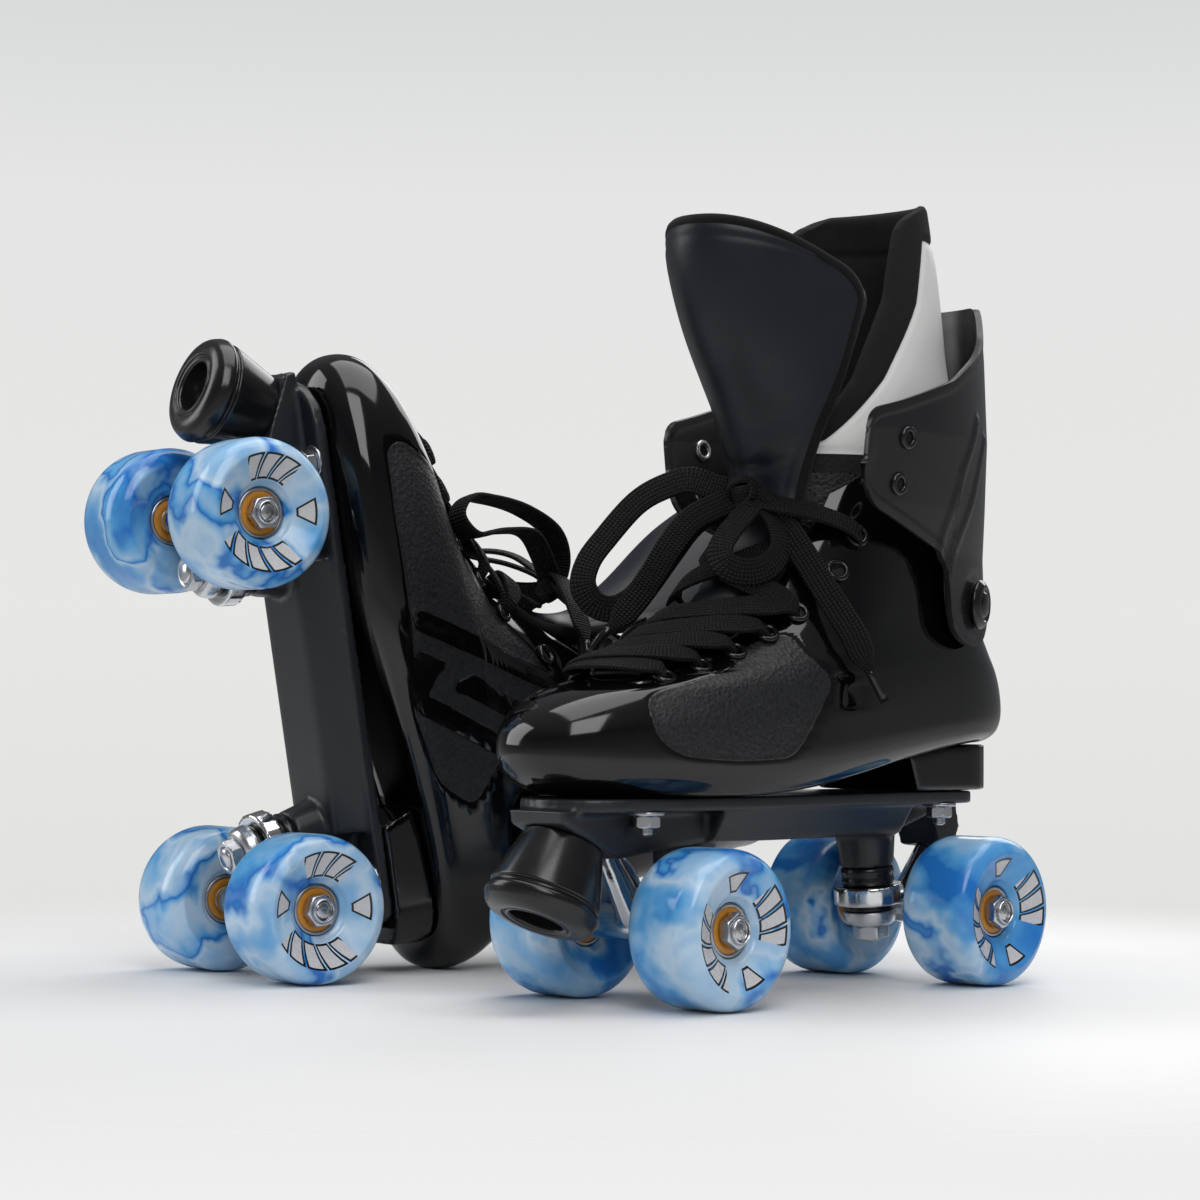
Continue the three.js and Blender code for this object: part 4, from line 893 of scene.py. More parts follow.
def shell_panel(points):
    """Signed distance to the sanded panels' edges, in millimetres."""
    flat = points[:, 1:]
    outer = outline_distance(flat, smooth_outline(OUTER_PANEL, 7))
    inner = outline_distance(flat, smooth_outline(INNER_PANEL, 7))
    for a, b in STRIPES:
        inner = np.maximum(inner, STRIPE_HALF_WIDTH - segment_distance(flat, a, b))
    return np.where(points[:, 0] > 6, outer, np.where(points[:, 0] < -6, inner, 20.0))


def boot_shell(skate):
    table = np.linspace(0, LAST_STATION, 421)
    edges = {side: edge_angles(table, side) for side in (1, -1)}
    tops = np.array(TOP_CUT)
    columns = [(side, share) for side, shares in ((-1, np.linspace(1, 0, SIDE_COLUMNS, endpoint=False)),
                                                  (1, np.linspace(0, 1, SIDE_COLUMNS))) for share in shares]
    grid = np.zeros((SHELL_ROWS + SOLE_ROWS, len(columns), 3))
    rows = np.linspace(0, 1, SHELL_ROWS)
    rows = rows + 0.16 * np.sin(2 * math.pi * rows) / (2 * math.pi)
    for c, (side, share) in enumerate(columns):
        angle = side * (math.pi * (1 - share) + edges[side] * (1 - ease(1 - share, 0, 0.45)))
        line = boot_point(table, angle)
        over = line[:, 2] - np.interp(line[:, 1], tops[:, 0], tops[:, 1])
        beyond = np.nonzero(over > 0)[0]
        last = table[-1]
        if len(beyond) and beyond[0] > 0:
            k = beyond[0]
            last = table[k - 1] + (table[k] - table[k - 1]) * over[k - 1] / (over[k - 1] - over[k])
        stations = last * rows
        grid[SOLE_ROWS:, c] = boot_point(stations, np.interp(stations, table, angle))
    sole = grid[SOLE_ROWS]
    for k in range(SOLE_ROWS):
        grid[k] = sole
        grid[k, :, 0] = (sole[:, 0] + TOE_BEND * 0.5) * k / SOLE_ROWS - TOE_BEND * 0.5
    points = grid.reshape(-1, 3)
    normals = outward(points, *grid.shape[:2], [0, 0, 140])
    edge = shell_panel(points)
    # vent: distance to the vent slot; it sinks the skin and sets where the slot's painted shade goes.
    vent = np.where(points[:, 0] > 0, segment_distance(points[:, 1:], *VENT) - VENT_HALF_WIDTH, 20)
    sunk = 0.9 * (1 - ease(edge, -1.2, 0.6)) + 1.6 * (1 - ease(vent, -1, 0.6))
    points = points - normals * sunk[:, None]
    masks = {"panel": -edge, "vent": -vent}
    make(skate, "shell", points, grid_faces(*grid.shape[:2]), BOOT, ["boot_shell"], slot="boot_plastic",
         masks=masks, weld=0.02, solidify=SHELL_WALL, bevel=0.7)


# ---- Padded shapes ----------------------------------------------------------------------------


def pad(middle, half):
    """A closed padded shape: a grid of middle points swelling to half its thickness each way."""
    rows, cols = middle.shape[:2]
    normals = outward(middle.reshape(-1, 3), rows, cols)
    offset = normals * np.asarray(half).reshape(-1, 1)
    flat = middle.reshape(-1, 3)
    front = grid_faces(rows, cols)
    back = [[i + rows * cols for i in f[::-1]] for f in front]
    return np.vstack([flat + offset, flat - offset]), front + back


def edge_swell(distance, half, reach):
    """Half thickness near an edge, so that the edge is a half round."""
    t = np.clip(distance / reach, 0, 1)
    return half * np.sqrt(1 - (1 - t) ** 2)


def border_distance(middle):
    """Each grid point's distance to the grid's border, along its rows and columns."""
    def along(axis):
        step = np.linalg.norm(np.diff(middle, axis=axis), axis=2)
        total = np.cumsum(step, axis=axis)
        zero = np.zeros_like(np.take(total, [0], axis=axis))
        total = np.concatenate([zero, total], axis=axis)
        return total, np.take(total, [-1], axis=axis) - total
    down, up = along(0)
    left, right = along(1)
    return down, up, left, right


# ---- Tongue -----------------------------------------------------------------------------------

TONGUE_INSTEP = [7.4, 8, 9, 10, 11, 12]  # the boot's rings that the tongue lies under
# Lines across the tongue above the boot: shares of the length, height and width, how far the sides
# sweep back, and how far the corners drop.
TONGUE_RISE = [
    [0.484, 0.9, 0.38, 0.028, 0],
    [0.464, 1.03, 0.52, 0.05, 0],
    [0.418, 1.19, 0.72, 0.11, 0],
    [0.368, 1.36, 0.86, 0.17, 0.02],
    [0.34, 1.5, 0.93, 0.2, 0.07],
    [0.332, 1.58, 0.92, 0.185, 0.1],
    [0.334, 1.645, 0.84, 0.15, 0.13],
]
TONGUE_ROWS, TONGUE_COLUMNS = 110, 57
TONGUE_SEAM_FOOT = 214  # height where the seam along the tongue's edge starts
BINDING_FOOT = 34  # the row of the grid where the felt binding starts
BINDING_RADIUS = 2.9
STITCH_ROWS = {"tongue_stitches": 71, "tongue_top_stitches": 101}  # the row that each seam follows
STITCH_LENGTH, STITCH_GAP, THREAD_RADIUS = 3.2, 1.5, 0.35


def tongue_middle():
    """The tongue's middle surface as a grid, from its foot to its top edge."""
    rows, cols = TONGUE_ROWS, TONGUE_COLUMNS
    shares = np.linspace(-1, 1, cols)
    lines = []
    for station in TONGUE_INSTEP:
        edge = throat_angle(station, -4)
        proud = -TONGUE_PROUD * (1 - 1.3 * shares ** 4)
        lines.append(boot_point(np.full(cols, station), edge * shares, proud))
    for along, up, width, sweep, drop in TONGUE_RISE:
        y = along_boot(along + sweep * shares ** 2)
        z = up_boot(up - drop * np.abs(shares) ** 3)
        lines.append(np.stack([across_boot(width) * shares, y, z], axis=1))
    lines = np.array(lines)
    places = np.linspace(0, len(lines) - 1, rows)
    return np.stack([catmull(lines[:, c], places) for c in range(cols)], axis=1)


def tongue(skate):
    middle = tongue_middle()
    down, up, left, right = border_distance(middle)
    near = np.minimum(np.minimum(down, up), np.minimum(left, right))
    half = edge_swell(near, TONGUE_THICKNESS / 2 - 0.35, 5) + 0.25 * ease(near, 8, 22)
    across, height = middle[:, :, 0], middle[:, :, 2]
    seam = np.exp(-((near - 7.5) / 1.3) ** 2) * (height > TONGUE_SEAM_FOOT)
    dimple = np.exp(-((height - 252) / 13) ** 2 - (across / 30) ** 2)
    crease = np.exp(-((height - 224 - 0.004 * across ** 2) / 2.2) ** 2) * ease(near, 4, 9)
    fold = np.exp(-((height - 231 - 0.3 * across) / 5) ** 2 - ((across - 4) / 13) ** 2)
    half = half - 0.4 * seam - 1.1 * dimple - 0.8 * crease + 1.3 * fold
    points, faces = pad(middle, np.maximum(half, 0.02))
    piece = make(skate, "tongue_pad", points, faces, TONGUE, ["tongue"], slot="tongue_leather", weld=0.06)
    border = np.vstack([middle[BINDING_FOOT:, 1], middle[-2, 2:-2], middle[BINDING_FOOT:, -2][::-1]])
    tube(skate, "tongue_binding", evenly(border, 220), BINDING_RADIUS, FELT_BLACK, slot="liner_fabric")
    front = middle - outward(middle.reshape(-1, 3), *middle.shape[:2]).reshape(middle.shape) * 3.0
    for name, row in STITCH_ROWS.items():
        stitch_row(skate, name, evenly(front[row, 6:-6], 60), STITCH_LENGTH, STITCH_GAP, THREAD_RADIUS)


# ---- Liner ------------------------------------------------------------------------------------

LINER_WALL = 5.5
# Rings of the liner's outside, [front, back, height, half-width], from inside the shell up.
COLLAR = [
    [0.5, 0.9, 0.62, 0.72],
    [0.505, 0.893, 0.9, 0.76],
    [0.512, 0.886, 1.12, 0.76],
    [0.53, 0.867, 1.3, 0.72],
    [0.55, 0.85, 1.48, 0.7],
    [0.575, 0.826, 1.66, 0.68],
    [0.588, 0.812, 1.745, 0.66],
]
# The collar's front edge: height above the ground, and share of the boot's length.
COLLAR_EDGE = [(up_boot(0.6), 0.48), (up_boot(0.97), 0.5), (235, 0.527), (262, 0.59), (297, 0.645),
               (322, 0.664), (330, 0.672), (335, 0.684), (338, 0.7), (341, 0.72)]
FELT_RIM = 12  # width of the felt round the collar's edge, low down
FELT_RIM_SPREAD = 7  # how much wider it is at the top
WHITE_FOOT = 229  # height where the white covering ends
FELT_BAND = 8  # height of the felt under it


def collar_edge(z):
    """Distance y of the collar's front edge at a height."""
    heights, shares = np.transpose(COLLAR_EDGE)
    return np.interp(z, heights, along_boot(shares))


def collar_ring(share_up, angle, inset):
    """Points of the collar: share_up from 0 to 1, angle from the front."""
    rings = np.array([[along_boot(f), along_boot(b), up_boot(h)] for f, b, h, _ in COLLAR])
    widths = np.array([[across_boot(w), 0, 0] for _, _, _, w in COLLAR])
    places = share_up * (len(COLLAR) - 1)
    front_back = catmull(rings, places)
    half = catmull(widths, places)[..., 0] - inset
    y = mix(front_back[..., 0] + inset, front_back[..., 1] - inset, (1 - np.cos(angle)) / 2)
    return np.stack([half * np.sin(angle), y, front_back[..., 2]], axis=-1)


def liner(skate):
    rows, cols = 96, 150
    ups = np.linspace(0, 1, rows)
    share = np.linspace(-1, 1, cols)
    angles = np.linspace(0, math.pi, 400)
    middle = np.zeros((rows, cols, 3))
    for r, up in enumerate(ups):
        half_ring = collar_ring(np.full(len(angles), up), angles, LINER_WALL / 2)
        start = np.interp(collar_edge(half_ring[0, 2]), half_ring[:, 1], angles)
        angle = np.sign(share) * mix(math.pi, start, np.abs(share))
        middle[r] = collar_ring(np.full(cols, up), angle, LINER_WALL / 2)
    crown = 1 + 3 * np.cos(share * math.pi / 2) - 4 * ease(np.abs(share), 0.65, 1)
    middle[:, :, 2] += ease(ups, 0.7, 1)[:, None] * crown[None]
    _, top, left, right = border_distance(middle)
    near = np.minimum(top, np.minimum(left, right))
    half = edge_swell(near, LINER_WALL / 2, 5)
    rim = FELT_RIM + FELT_RIM_SPREAD * ease(middle[:, :, 2], 235, 300)
    seam = np.exp(-((near - rim) / 1.4) ** 2)
    foot = np.exp(-((middle[:, :, 2] - WHITE_FOOT) / 1.4) ** 2) * (near > rim)
    puff = 0.7 * ease(near - rim, 0, 12) * ease(middle[:, :, 2], WHITE_FOOT, WHITE_FOOT + 10)
    half = half - 0.9 * np.maximum(seam, foot) + puff
    points, faces = pad(middle, np.maximum(half, 0.02))
    within_rim = np.tile((rim - near).reshape(-1), 2)
    inside = np.repeat([0.0, 1.0], rows * cols)
    outer_first = np.linalg.norm(points[:rows * cols, :2] - [0, 60], axis=1).mean()
    inner_first = np.linalg.norm(points[rows * cols:, :2] - [0, 60], axis=1).mean()
    if outer_first < inner_first:
        inside = 1 - inside
    band = FELT_BAND / 2 - np.abs(points[:, 2] - WHITE_FOOT + FELT_BAND / 2)
    felt = np.where(inside > 0, FELT_RIM, np.maximum(within_rim, band))
    mesh = WHITE_FOOT - points[:, 2]
    piece = make(skate, "liner_collar", points, faces, LINER, ["liner"], slot="liner_fabric",
                 masks={"felt": felt, "mesh": mesh}, weld=0.06)


# ---- Cuff -------------------------------------------------------------------------------------

# Each ring of the cuff: front and back as shares of the boot's length, height and half-width as
# shares of the boot's own.
CUFF_RINGS = [
    [0.3, 0.985, 0.4, 0.92],
    [0.29, 0.961, 0.475, 0.94],
    [0.28, 0.948, 0.56, 0.96],
    [0.265, 0.939, 0.7, 1.0],
    [0.255, 0.933, 0.84, 1.08],
    [0.252, 0.928, 1.05, 1.15],
    [0.252, 0.922, 1.3, 1.13],
    [0.255, 0.916, 1.55, 1.06],
]
CUFF_ROUNDNESS = 2.15
CUFF_FRONT = 0.497
# The side view's outline of the cuff, over and under: shares of the boot's length and height.
CUFF_TOP = [[CUFF_FRONT, 1.05], [0.501, 1.082], [0.514, 1.108], [0.57, 1.135], [0.7, 1.21], [0.79, 1.3],
            [0.85, 1.38], [0.89, 1.48], [1.1, 1.5]]
CUFF_FOOT = [[CUFF_FRONT, 0.93], [0.502, 0.87], [0.522, 0.825], [0.702, 0.7], [0.728, 0.62], [0.74, 0.49],
             [0.775, 0.445], [0.82, 0.43], [0.86, 0.46], [0.9, 0.52], [1.1, 0.53]]
CUFF_RIBS = [[(72, 246), (59, 224), (47, 197), (44, 186)], [(82, 239), (71, 212), (55, 185), (50, 176)]]


def cuff_point(height, angle, outset):
    """Points of the cuff's skin: height above the ground, angle from the front, distance out."""
    rings = np.array([[along_boot(f), along_boot(b), up_boot(h), across_boot(w)]
                      for f, b, h, w in CUFF_RINGS])
    front, back, half = (np.interp(height, rings[:, 2], rings[:, i]) for i in (0, 1, 3))
    power = 2 / CUFF_ROUNDNESS
    x = (half + outset) * np.sign(np.sin(angle)) * np.abs(np.sin(angle)) ** power
    share = (1 - np.sign(np.cos(angle)) * np.abs(np.cos(angle)) ** power) / 2
    return np.stack([x, mix(front - outset, back + outset, share), height], axis=-1)


def cuff_outline(corners, radius):
    points = [(float(along_boot(a)), float(up_boot(u))) for a, u in corners]
    return np.array(rounded(points, [radius] * len(points), 5))


def cuff(skate):
    foot, top = cuff_outline(CUFF_FOOT, 7), cuff_outline(CUFF_TOP, 5)
    rows, cols = 64, 240
    heights = np.linspace(up_boot(0.4), up_boot(1.55), 500)
    angles = np.linspace(0, math.pi, 600)
    start = np.zeros(len(heights))
    for k, height in enumerate(heights):
        ring = cuff_point(np.full(len(angles), height), angles, CUFF_WALL)
        start[k] = np.interp(along_boot(CUFF_FRONT), ring[:, 1], angles)
    grid = np.zeros((rows, cols, 3))
    for c, share in enumerate(np.linspace(-1, 1, cols)):
        angle = np.sign(share) * mix(math.pi, start, abs(share))
        line = cuff_point(heights, angle, CUFF_WALL)
        low = line[:, 2] - np.interp(line[:, 1], foot[:, 0], foot[:, 1])
        high = line[:, 2] - np.interp(line[:, 1], top[:, 0], top[:, 1])
        at = np.linspace(np.interp(0, low, heights), np.interp(0, high, heights), rows)
        grid[:, c] = cuff_point(at, np.interp(at, heights, angle), CUFF_WALL)
    points = grid.reshape(-1, 3)
    normals = outward(points, rows, cols, [0, 60, 200])
    raised = np.zeros(len(points))
    for rib in CUFF_RIBS:
        near = np.min([segment_distance(points[:, 1:], a, b) for a, b in zip(rib, rib[1:])], axis=0)
        raised = np.maximum(raised, 0.9 * (1 - ease(near, 0.8, 3.2)))
    down, up, left, right = border_distance(grid)
    brink = np.minimum(down, np.minimum(up, np.minimum(left, right))).ravel()
    lip = 0.5 * (1 - ease(brink, 3.6, 5.2))
    dish = 0.5 * (1 - ease(np.hypot(points[:, 1] - PIVOT_Y, points[:, 2] - PIVOT_Z), 13.5, 16))
    points = points + normals * (raised + lip - dish)[:, None]
    make(skate, "ankle_cuff_shell", points, grid_faces(rows, cols), CUFF, ["cuff"],
         f"{skate.side}_ankle_cuff", "cuff_plastic", weld=0.02, solidify=CUFF_WALL, bevel=0.6)


def cuff_normal(y, z, side):
    """The cuff's skin at a side view's point: its place and its outward direction."""
    def x_at(y, z):
        angles = np.linspace(0.2, math.pi - 0.05, 500)
        ring = cuff_point(np.full(500, z), angles, CUFF_WALL)
        return np.interp(y, ring[:, 1], ring[:, 0])
    x = x_at(y, z)
    normal = unit([1, -(x_at(y + 1, z) - x), -(x_at(y, z + 1) - x)])
    return np.array([side * x, y, z]), normal * [side, 1, 1]


PIVOT_BUTTON = [(0, -0.6), (RIVET_HEAD - 1, -0.6), (RIVET_HEAD, 0.6), (RIVET_HEAD - 0.4, 1.6),
                (RIVET_HEAD - 2.2, 3.0), (RIVET_HEAD - 3.4, 3.3), (RIVET_HEAD - 4.0, 2.6),
                (RIVET_HEAD - 5.2, 2.5), (RIVET_HEAD - 5.8, 3.5), (2.5, 4.1), (0, 4.2)]
FLAP_EYELETS = [(13, 234.5), (10, 215)]
FLAP_EYELET_RADIUS, FLAP_EYELET_ROLL, FLAP_HOLE_RADIUS = 3.7, 1.3, 3.4


def flap_eyelets(skate):
    """Two rolled eyelets on each flap of the cuff, with bright washers on its inside, and near-black discs on
    both faces of each hole as painted shade.
    """
    body = f"{skate.side}_ankle_cuff"
    outside, inside, facing, hole_shade_discs = [], [], [], []
    for side in (1, -1):
        for y, z in FLAP_EYELETS:
            spot, normal = cuff_normal(y, z, side)
            outside.append(spot + normal * 0.5)
            inside.append(spot - normal * (CUFF_WALL + 0.5))
            facing.append(normal)
            # A near-black disc just off each face of the flap: painted shade in the hole.
            for proud in (0.3, -CUFF_WALL - 0.3):
                place = axis_frame(spot + normal * proud, normal)
                hole_shade_discs.append(turned([(0, 0), (FLAP_HOLE_RADIUS, 0)], place, 24))
    sizes = FLAP_EYELET_RADIUS, FLAP_EYELET_ROLL
    eyelet_row(skate, "flap_eyelets", outside, facing, *sizes, GLOSS, body, "cuff_plastic")
    eyelet_row(skate, "flap_eyelet_backs", inside, facing, *sizes, ZINC, body, "hardware_zinc")
    make(skate, "flap_eyelet_holes", *joined(*hole_shade_discs), HOLE_SHADE, body=body, slot="cuff_plastic", weld=0.01,
         smooth=False)


def cuff_rivets(skate):
    for side, word in ((1, "outer"), (-1, "inner")):
        spot, normal = cuff_normal(PIVOT_Y, PIVOT_Z, side)
        place = axis_frame(spot + normal * 1.4, normal)
        profile = rounded(PIVOT_BUTTON, [0] + [0.6] * (len(PIVOT_BUTTON) - 2) + [0], 4)
        make(skate, f"pivot_button_{word}", *turned(profile, place), GLOSS, [f"cuff_rivet_{word}"],
             f"{skate.side}_ankle_cuff", "cuff_plastic", weld=0.02)


# ---- Repeated fittings, made with geometry nodes ----------------------------------------------


def geometry_tree(name, inputs, build):
    """A geometry node tree with named inputs; build returns the geometry and its material."""
    tree = bpy.data.node_groups.new(name, "GeometryNodeTree")
    add_inputs(tree, {"Geometry": ("NodeSocketGeometry", None), **inputs})
    tree.interface.new_socket("Geometry", in_out="OUTPUT", socket_type="NodeSocketGeometry")
    t = Tree(tree)
    start = tree.nodes.new("NodeGroupInput")
    end = tree.nodes.new("NodeGroupOutput")
    instances = build(t, start.outputs)
    real = t.node("GeometryNodeRealizeInstances", instances)
    shaded = t.node("GeometryNodeSetShadeSmooth", real)
    finished = t.node("GeometryNodeSetMaterial", shaded, ("Material", start.outputs["Material"]))
    tree.links.new(finished, end.inputs[0])
    return tree


def grown(skate, piece, points, edges, tree, values, attributes=None, body=ROOT, replaces=()):
    """A piece that a geometry tree grows on points or a line, as a plain mesh."""
    mesh = bpy.data.meshes.new(skate.name(piece))
    mesh.from_pydata(skate.place(points).tolist(), edges, [])
    for name, vectors in (attributes or {}).items():
        store(mesh, name, np.asarray(vectors) @ skate.turn.T / MM)
    piece_object = linked(skate.name(piece), mesh)
    modifier = piece_object.modifiers.new("Growth", "NODES")
    modifier.node_group = tree
    for item in tree.interface.items_tree:
        if item.in_out == "INPUT" and item.name in values:
            modifier[item.identifier] = values[item.name]
    apply_modifiers(piece_object)
    add_local(piece_object, skate)
    finish_piece(piece_object, skate, replaces, body)
    return piece_object


def add_local(piece_object, skate):
    """Stores each vertex's place in the skate's own frame, in metres, for the patterns."""
    mesh = piece_object.data
    co = np.zeros(len(mesh.vertices) * 3, np.float32)
    mesh.vertices.foreach_get("co", co)
    local = (co.reshape(-1, 3) - skate.origin) @ np.linalg.inv(skate.turn.T) * MM
    store(mesh, "local", local)


def stitch_tree():
    """Thread stitches along a line: short capsules, each dipping at its ends."""
    def build(t, inputs):
        line = t.node("GeometryNodeMeshToCurve", inputs["Geometry"])
        pitch = t.math("ADD", inputs["Stitch Length"], inputs["Stitch Gap"])
        spots = t.node("GeometryNodeResampleCurve", ("Curve", line), ("Length", pitch), mode="LENGTH")
        points = t.node("GeometryNodeCurveToPoints", ("Curve", spots), mode="EVALUATED")
        turn = points.node.outputs["Rotation"]
        thread = t.node("GeometryNodeMeshUVSphere", ("Segments", 8), ("Rings", 6), ("Radius", 0.5))
        across = t.math("MULTIPLY", inputs["Thread Radius"], 2.0)
        size = t.node("ShaderNodeCombineXYZ", across, across, inputs["Stitch Length"])
        return t.node("GeometryNodeInstanceOnPoints", ("Points", points), ("Instance", thread),
                      ("Rotation", turn), ("Scale", size))
    return geometry_tree("stitch_row", {"Stitch Length": (FLOAT, 0.003), "Stitch Gap": (FLOAT, 0.0015),
                                        "Thread Radius": (FLOAT, 0.0003),
                                        "Material": ("NodeSocketMaterial", None)}, build)


def eyelet_tree():
    """Eyelets on points: a rolled ring, each facing along its own direction. The near-black discs in their
    holes, painted shade, are made apart from it.
    """
    def build(t, inputs):
        circle, section = (
            t.node("GeometryNodeCurvePrimitiveCircle", ("Resolution", sides), ("Radius", inputs[size]))
            for sides, size in ((36, "Ring Radius"), (12, "Roll Radius")))
        ring = t.node("GeometryNodeCurveToMesh", ("Curve", circle), ("Profile Curve", section))
        facing = t.node("GeometryNodeInputNamedAttribute", ("Name", "facing"), data_type="FLOAT_VECTOR")
        turn = t.node("FunctionNodeAlignRotationToVector", ("Vector", facing), axis="Z")
        return t.node("GeometryNodeInstanceOnPoints", ("Points", inputs["Geometry"]), ("Instance", ring),
                      ("Rotation", turn))
    return geometry_tree("eyelet_row", {"Ring Radius": (FLOAT, 0.0038), "Roll Radius": (FLOAT, 0.0012),
                                        "Material": ("NodeSocketMaterial", None)}, build)


STITCHES, EYELETS = stitch_tree(), eyelet_tree()


def stitch_row(skate, piece, path, length, gap, radius):
    edges = [(i, i + 1) for i in range(len(path) - 1)]
    values = {"Stitch Length": length * MM, "Stitch Gap": gap * MM, "Thread Radius": radius * MM,
              "Material": THREAD}
    grown(skate, piece, path, edges, STITCHES, values)


def eyelet_row(skate, piece, spots, facing, radius, roll, material, body=ROOT, slot="boot_plastic"):
    values = {"Ring Radius": radius * MM, "Roll Radius": roll * MM, "Material": material}
    grown(skate, piece, spots, [], EYELETS, values, {"facing": facing}, body)


# ---- Laces ------------------------------------------------------------------------------------

LACED = [7.2, 7.9, 8.6, 9.3, 10]
EMPTY_EYELET = 11.2
TOP_EYELET = 12.1
# Station, and the eyelet's distance from the throat.
EYELET_INSETS = [(7.2, 6.2), (8.6, 8.4), (10, 10.6), (11.2, 12.2), (12.1, 12.4)]
EYELET_LIFT = 2.3
CROSSED_WIDTH = 11.5
CROSSED_THICKNESS = 2.2
LACE_TILT = np.array([0, -0.12, 0])  # the crossed laces lean towards the toe
LACE_LIFT = TONGUE_PROUD + TONGUE_THICKNESS / 2 + LACE_THICKNESS / 2 + 1.5
EYELET_RADIUS = 4.1
EYELET_ROLL = 1.25


def eyelet_angle(station, side):
    """The angle of the eyelet at a station, on the +X (1) or -X (-1) side."""
    return side * float(throat_angle(station, np.interp(station, *np.transpose(EYELET_INSETS))))


def skin_direction(station, angle):
    """Outward direction of the boot's skin."""
    return unit(boot_point(station, angle, -1.0) - boot_point(station, angle, 0.0))


def capped_faces(rings, sides):
    """The faces of a tube of rings of points, closed at both ends."""
    faces = grid_faces(rings, sides, closed=True)
    return faces + [list(range(sides))[::-1], list(range((rings - 1) * sides, rings * sides))]


def flat_lace(path, outs, width, thickness, sides=14, pinch=None):
    """A flat lace with rounded edges along a path; outs are the directions its face looks."""
    count = len(path)
    along = unit(np.gradient(path, axis=0))
    across = unit(np.cross(outs, along))
    up = np.cross(along, across)
    angle = np.arange(sides) * 2 * math.pi / sides
    power = 2 / 3.2
    a = np.sign(np.cos(angle)) * np.abs(np.cos(angle)) ** power * width / 2
    b = np.sign(np.sin(angle)) * np.abs(np.sin(angle)) ** power * thickness / 2
    squeeze = np.ones(count) if pinch is None else pinch
    ring = (path[:, None] + across[:, None] * (a[None, :, None] * squeeze[:, None, None])
            + up[:, None] * (b[None, :, None] * (1 + 0.6 * (1 - squeeze))[:, None, None]))
    points = ring.reshape(-1, 3)
    faces = capped_faces(count, sides)
    length = np.concatenate([[0], np.cumsum(np.linalg.norm(np.diff(path, axis=0), axis=1))]) * MM
    v = (1 - a / (width / 2)) / 2
    uv = np.stack([np.repeat(length, sides), np.tile(v, count)], axis=1)
    return points, faces, uv


def carried(path, start):
    """Directions carried along a path without twisting, from a starting direction."""
    along = unit(np.gradient(path, axis=0))
    out = [unit(np.asarray(start, float) - along[0] * np.dot(start, along[0]))]
    for tangent in along[1:]:
        out.append(unit(out[-1] - tangent * np.dot(out[-1], tangent)))
    return np.array(out)


def lace_strip(start, end, end_lift, over):
    """A crossed lace from one (station, angle) to another, over the lace that it crosses."""
    (s0, a0), (s1, a1) = start, end
    t = np.linspace(0, 1, 34)
    lift = np.where(t < 0.5, EYELET_LIFT, end_lift)
    lift = mix(lift, LACE_LIFT + over, np.sin(math.pi * t) ** 0.5)
    into = 3.0 * (1 - ease(t, 0, 0.06))
    if end_lift == EYELET_LIFT:
        into = into + 3.0 * ease(t, 0.94, 1)
    stations, angles = mix(s0, s1, t), mix(a0, a1, t)
    path = boot_point(stations, angles, -(lift - into))
    outs = unit(skin_direction(stations, angles) + LACE_TILT)
    close = np.minimum(t, 1 - t) if end_lift == EYELET_LIFT else t
    pinch = mix(0.55, 1.0, ease(close, 0.02, 0.16))
    return flat_lace(path, outs, CROSSED_WIDTH, CROSSED_THICKNESS, pinch=pinch)


def laces(skate):
    """The crossed laces, with the eyelets along both sides of the throat and near-black discs in their holes
    as painted shade.
    """
    over = CROSSED_THICKNESS + GAP
    def eyelet(station, side):
        return station, eyelet_angle(station, side)
    strips = [lace_strip(eyelet(LACED[0], 1), eyelet(LACED[0], -1), EYELET_LIFT, 0)]
    for side in (1, -1):
        lift = 0 if side > 0 else over
        for low, high in zip(LACED, LACED[1:]):
            strips.append(lace_strip(eyelet(low, side), eyelet(high, -side), EYELET_LIFT, lift))
        last = TOP_EYELET - 0.5
        inside = (last, -side * float(throat_angle(last, -LACE_WIDTH / 2)))
        strips.append(lace_strip(eyelet(LACED[-1], side), inside, LACE_LIFT, lift))
    points, faces = joined(*[(p, f) for p, f, _ in strips])
    uv = np.vstack([uv for _, _, uv in strips])
    make(skate, "crossed_laces", points, faces, LACE, ["laces"], slot="lace_weave", uv=uv)
    spots, facing = [], []
    for station in LACED + [EMPTY_EYELET, TOP_EYELET]:
        for side in (1, -1):
            angle = eyelet_angle(station, side)
            direction = skin_direction(station, angle)
            spots.append(boot_point(station, angle) + direction * 0.55)
            facing.append(direction)
    eyelet_row(skate, "eyelets", spots, facing, EYELET_RADIUS, EYELET_ROLL, GLOSS)
    # Near-black discs just under each eyelet ring: painted shade in the holes.
    hole = [(0, 0.0), (EYELET_RADIUS - 0.4, 0.0)]
    holes_with_painted_shade = [turned(hole, axis_frame(spot - direction * 0.35, direction), 24)
             for spot, direction in zip(spots, facing)]
    make(skate, "eyelet_holes", *joined(*holes_with_painted_shade), HOLE_SHADE, slot="boot_plastic", weld=0.01, smooth=False)


def tube(skate, piece, path, radius, material, body=ROOT, slot=None, sides=12):
    """A round tube along a path with rounded ends."""
    count = len(path)
    outs = carried(path, (0.1, 0.3, 1))
    along = unit(np.gradient(path, axis=0))
    side = np.cross(along, outs)
    angle = np.arange(sides) * 2 * math.pi / sides
    radii = np.full(count, float(radius))
    radii[0] = radii[-1] = radius * 0.35
    ring = (np.cos(angle)[None, :, None] * outs[:, None] + np.sin(angle)[None, :, None] * side[:, None])
    points = (path[:, None] + ring * radii[:, None, None]).reshape(-1, 3)
    faces = capped_faces(count, sides)
    return make(skate, piece, points, faces, material, body=body, slot=slot)


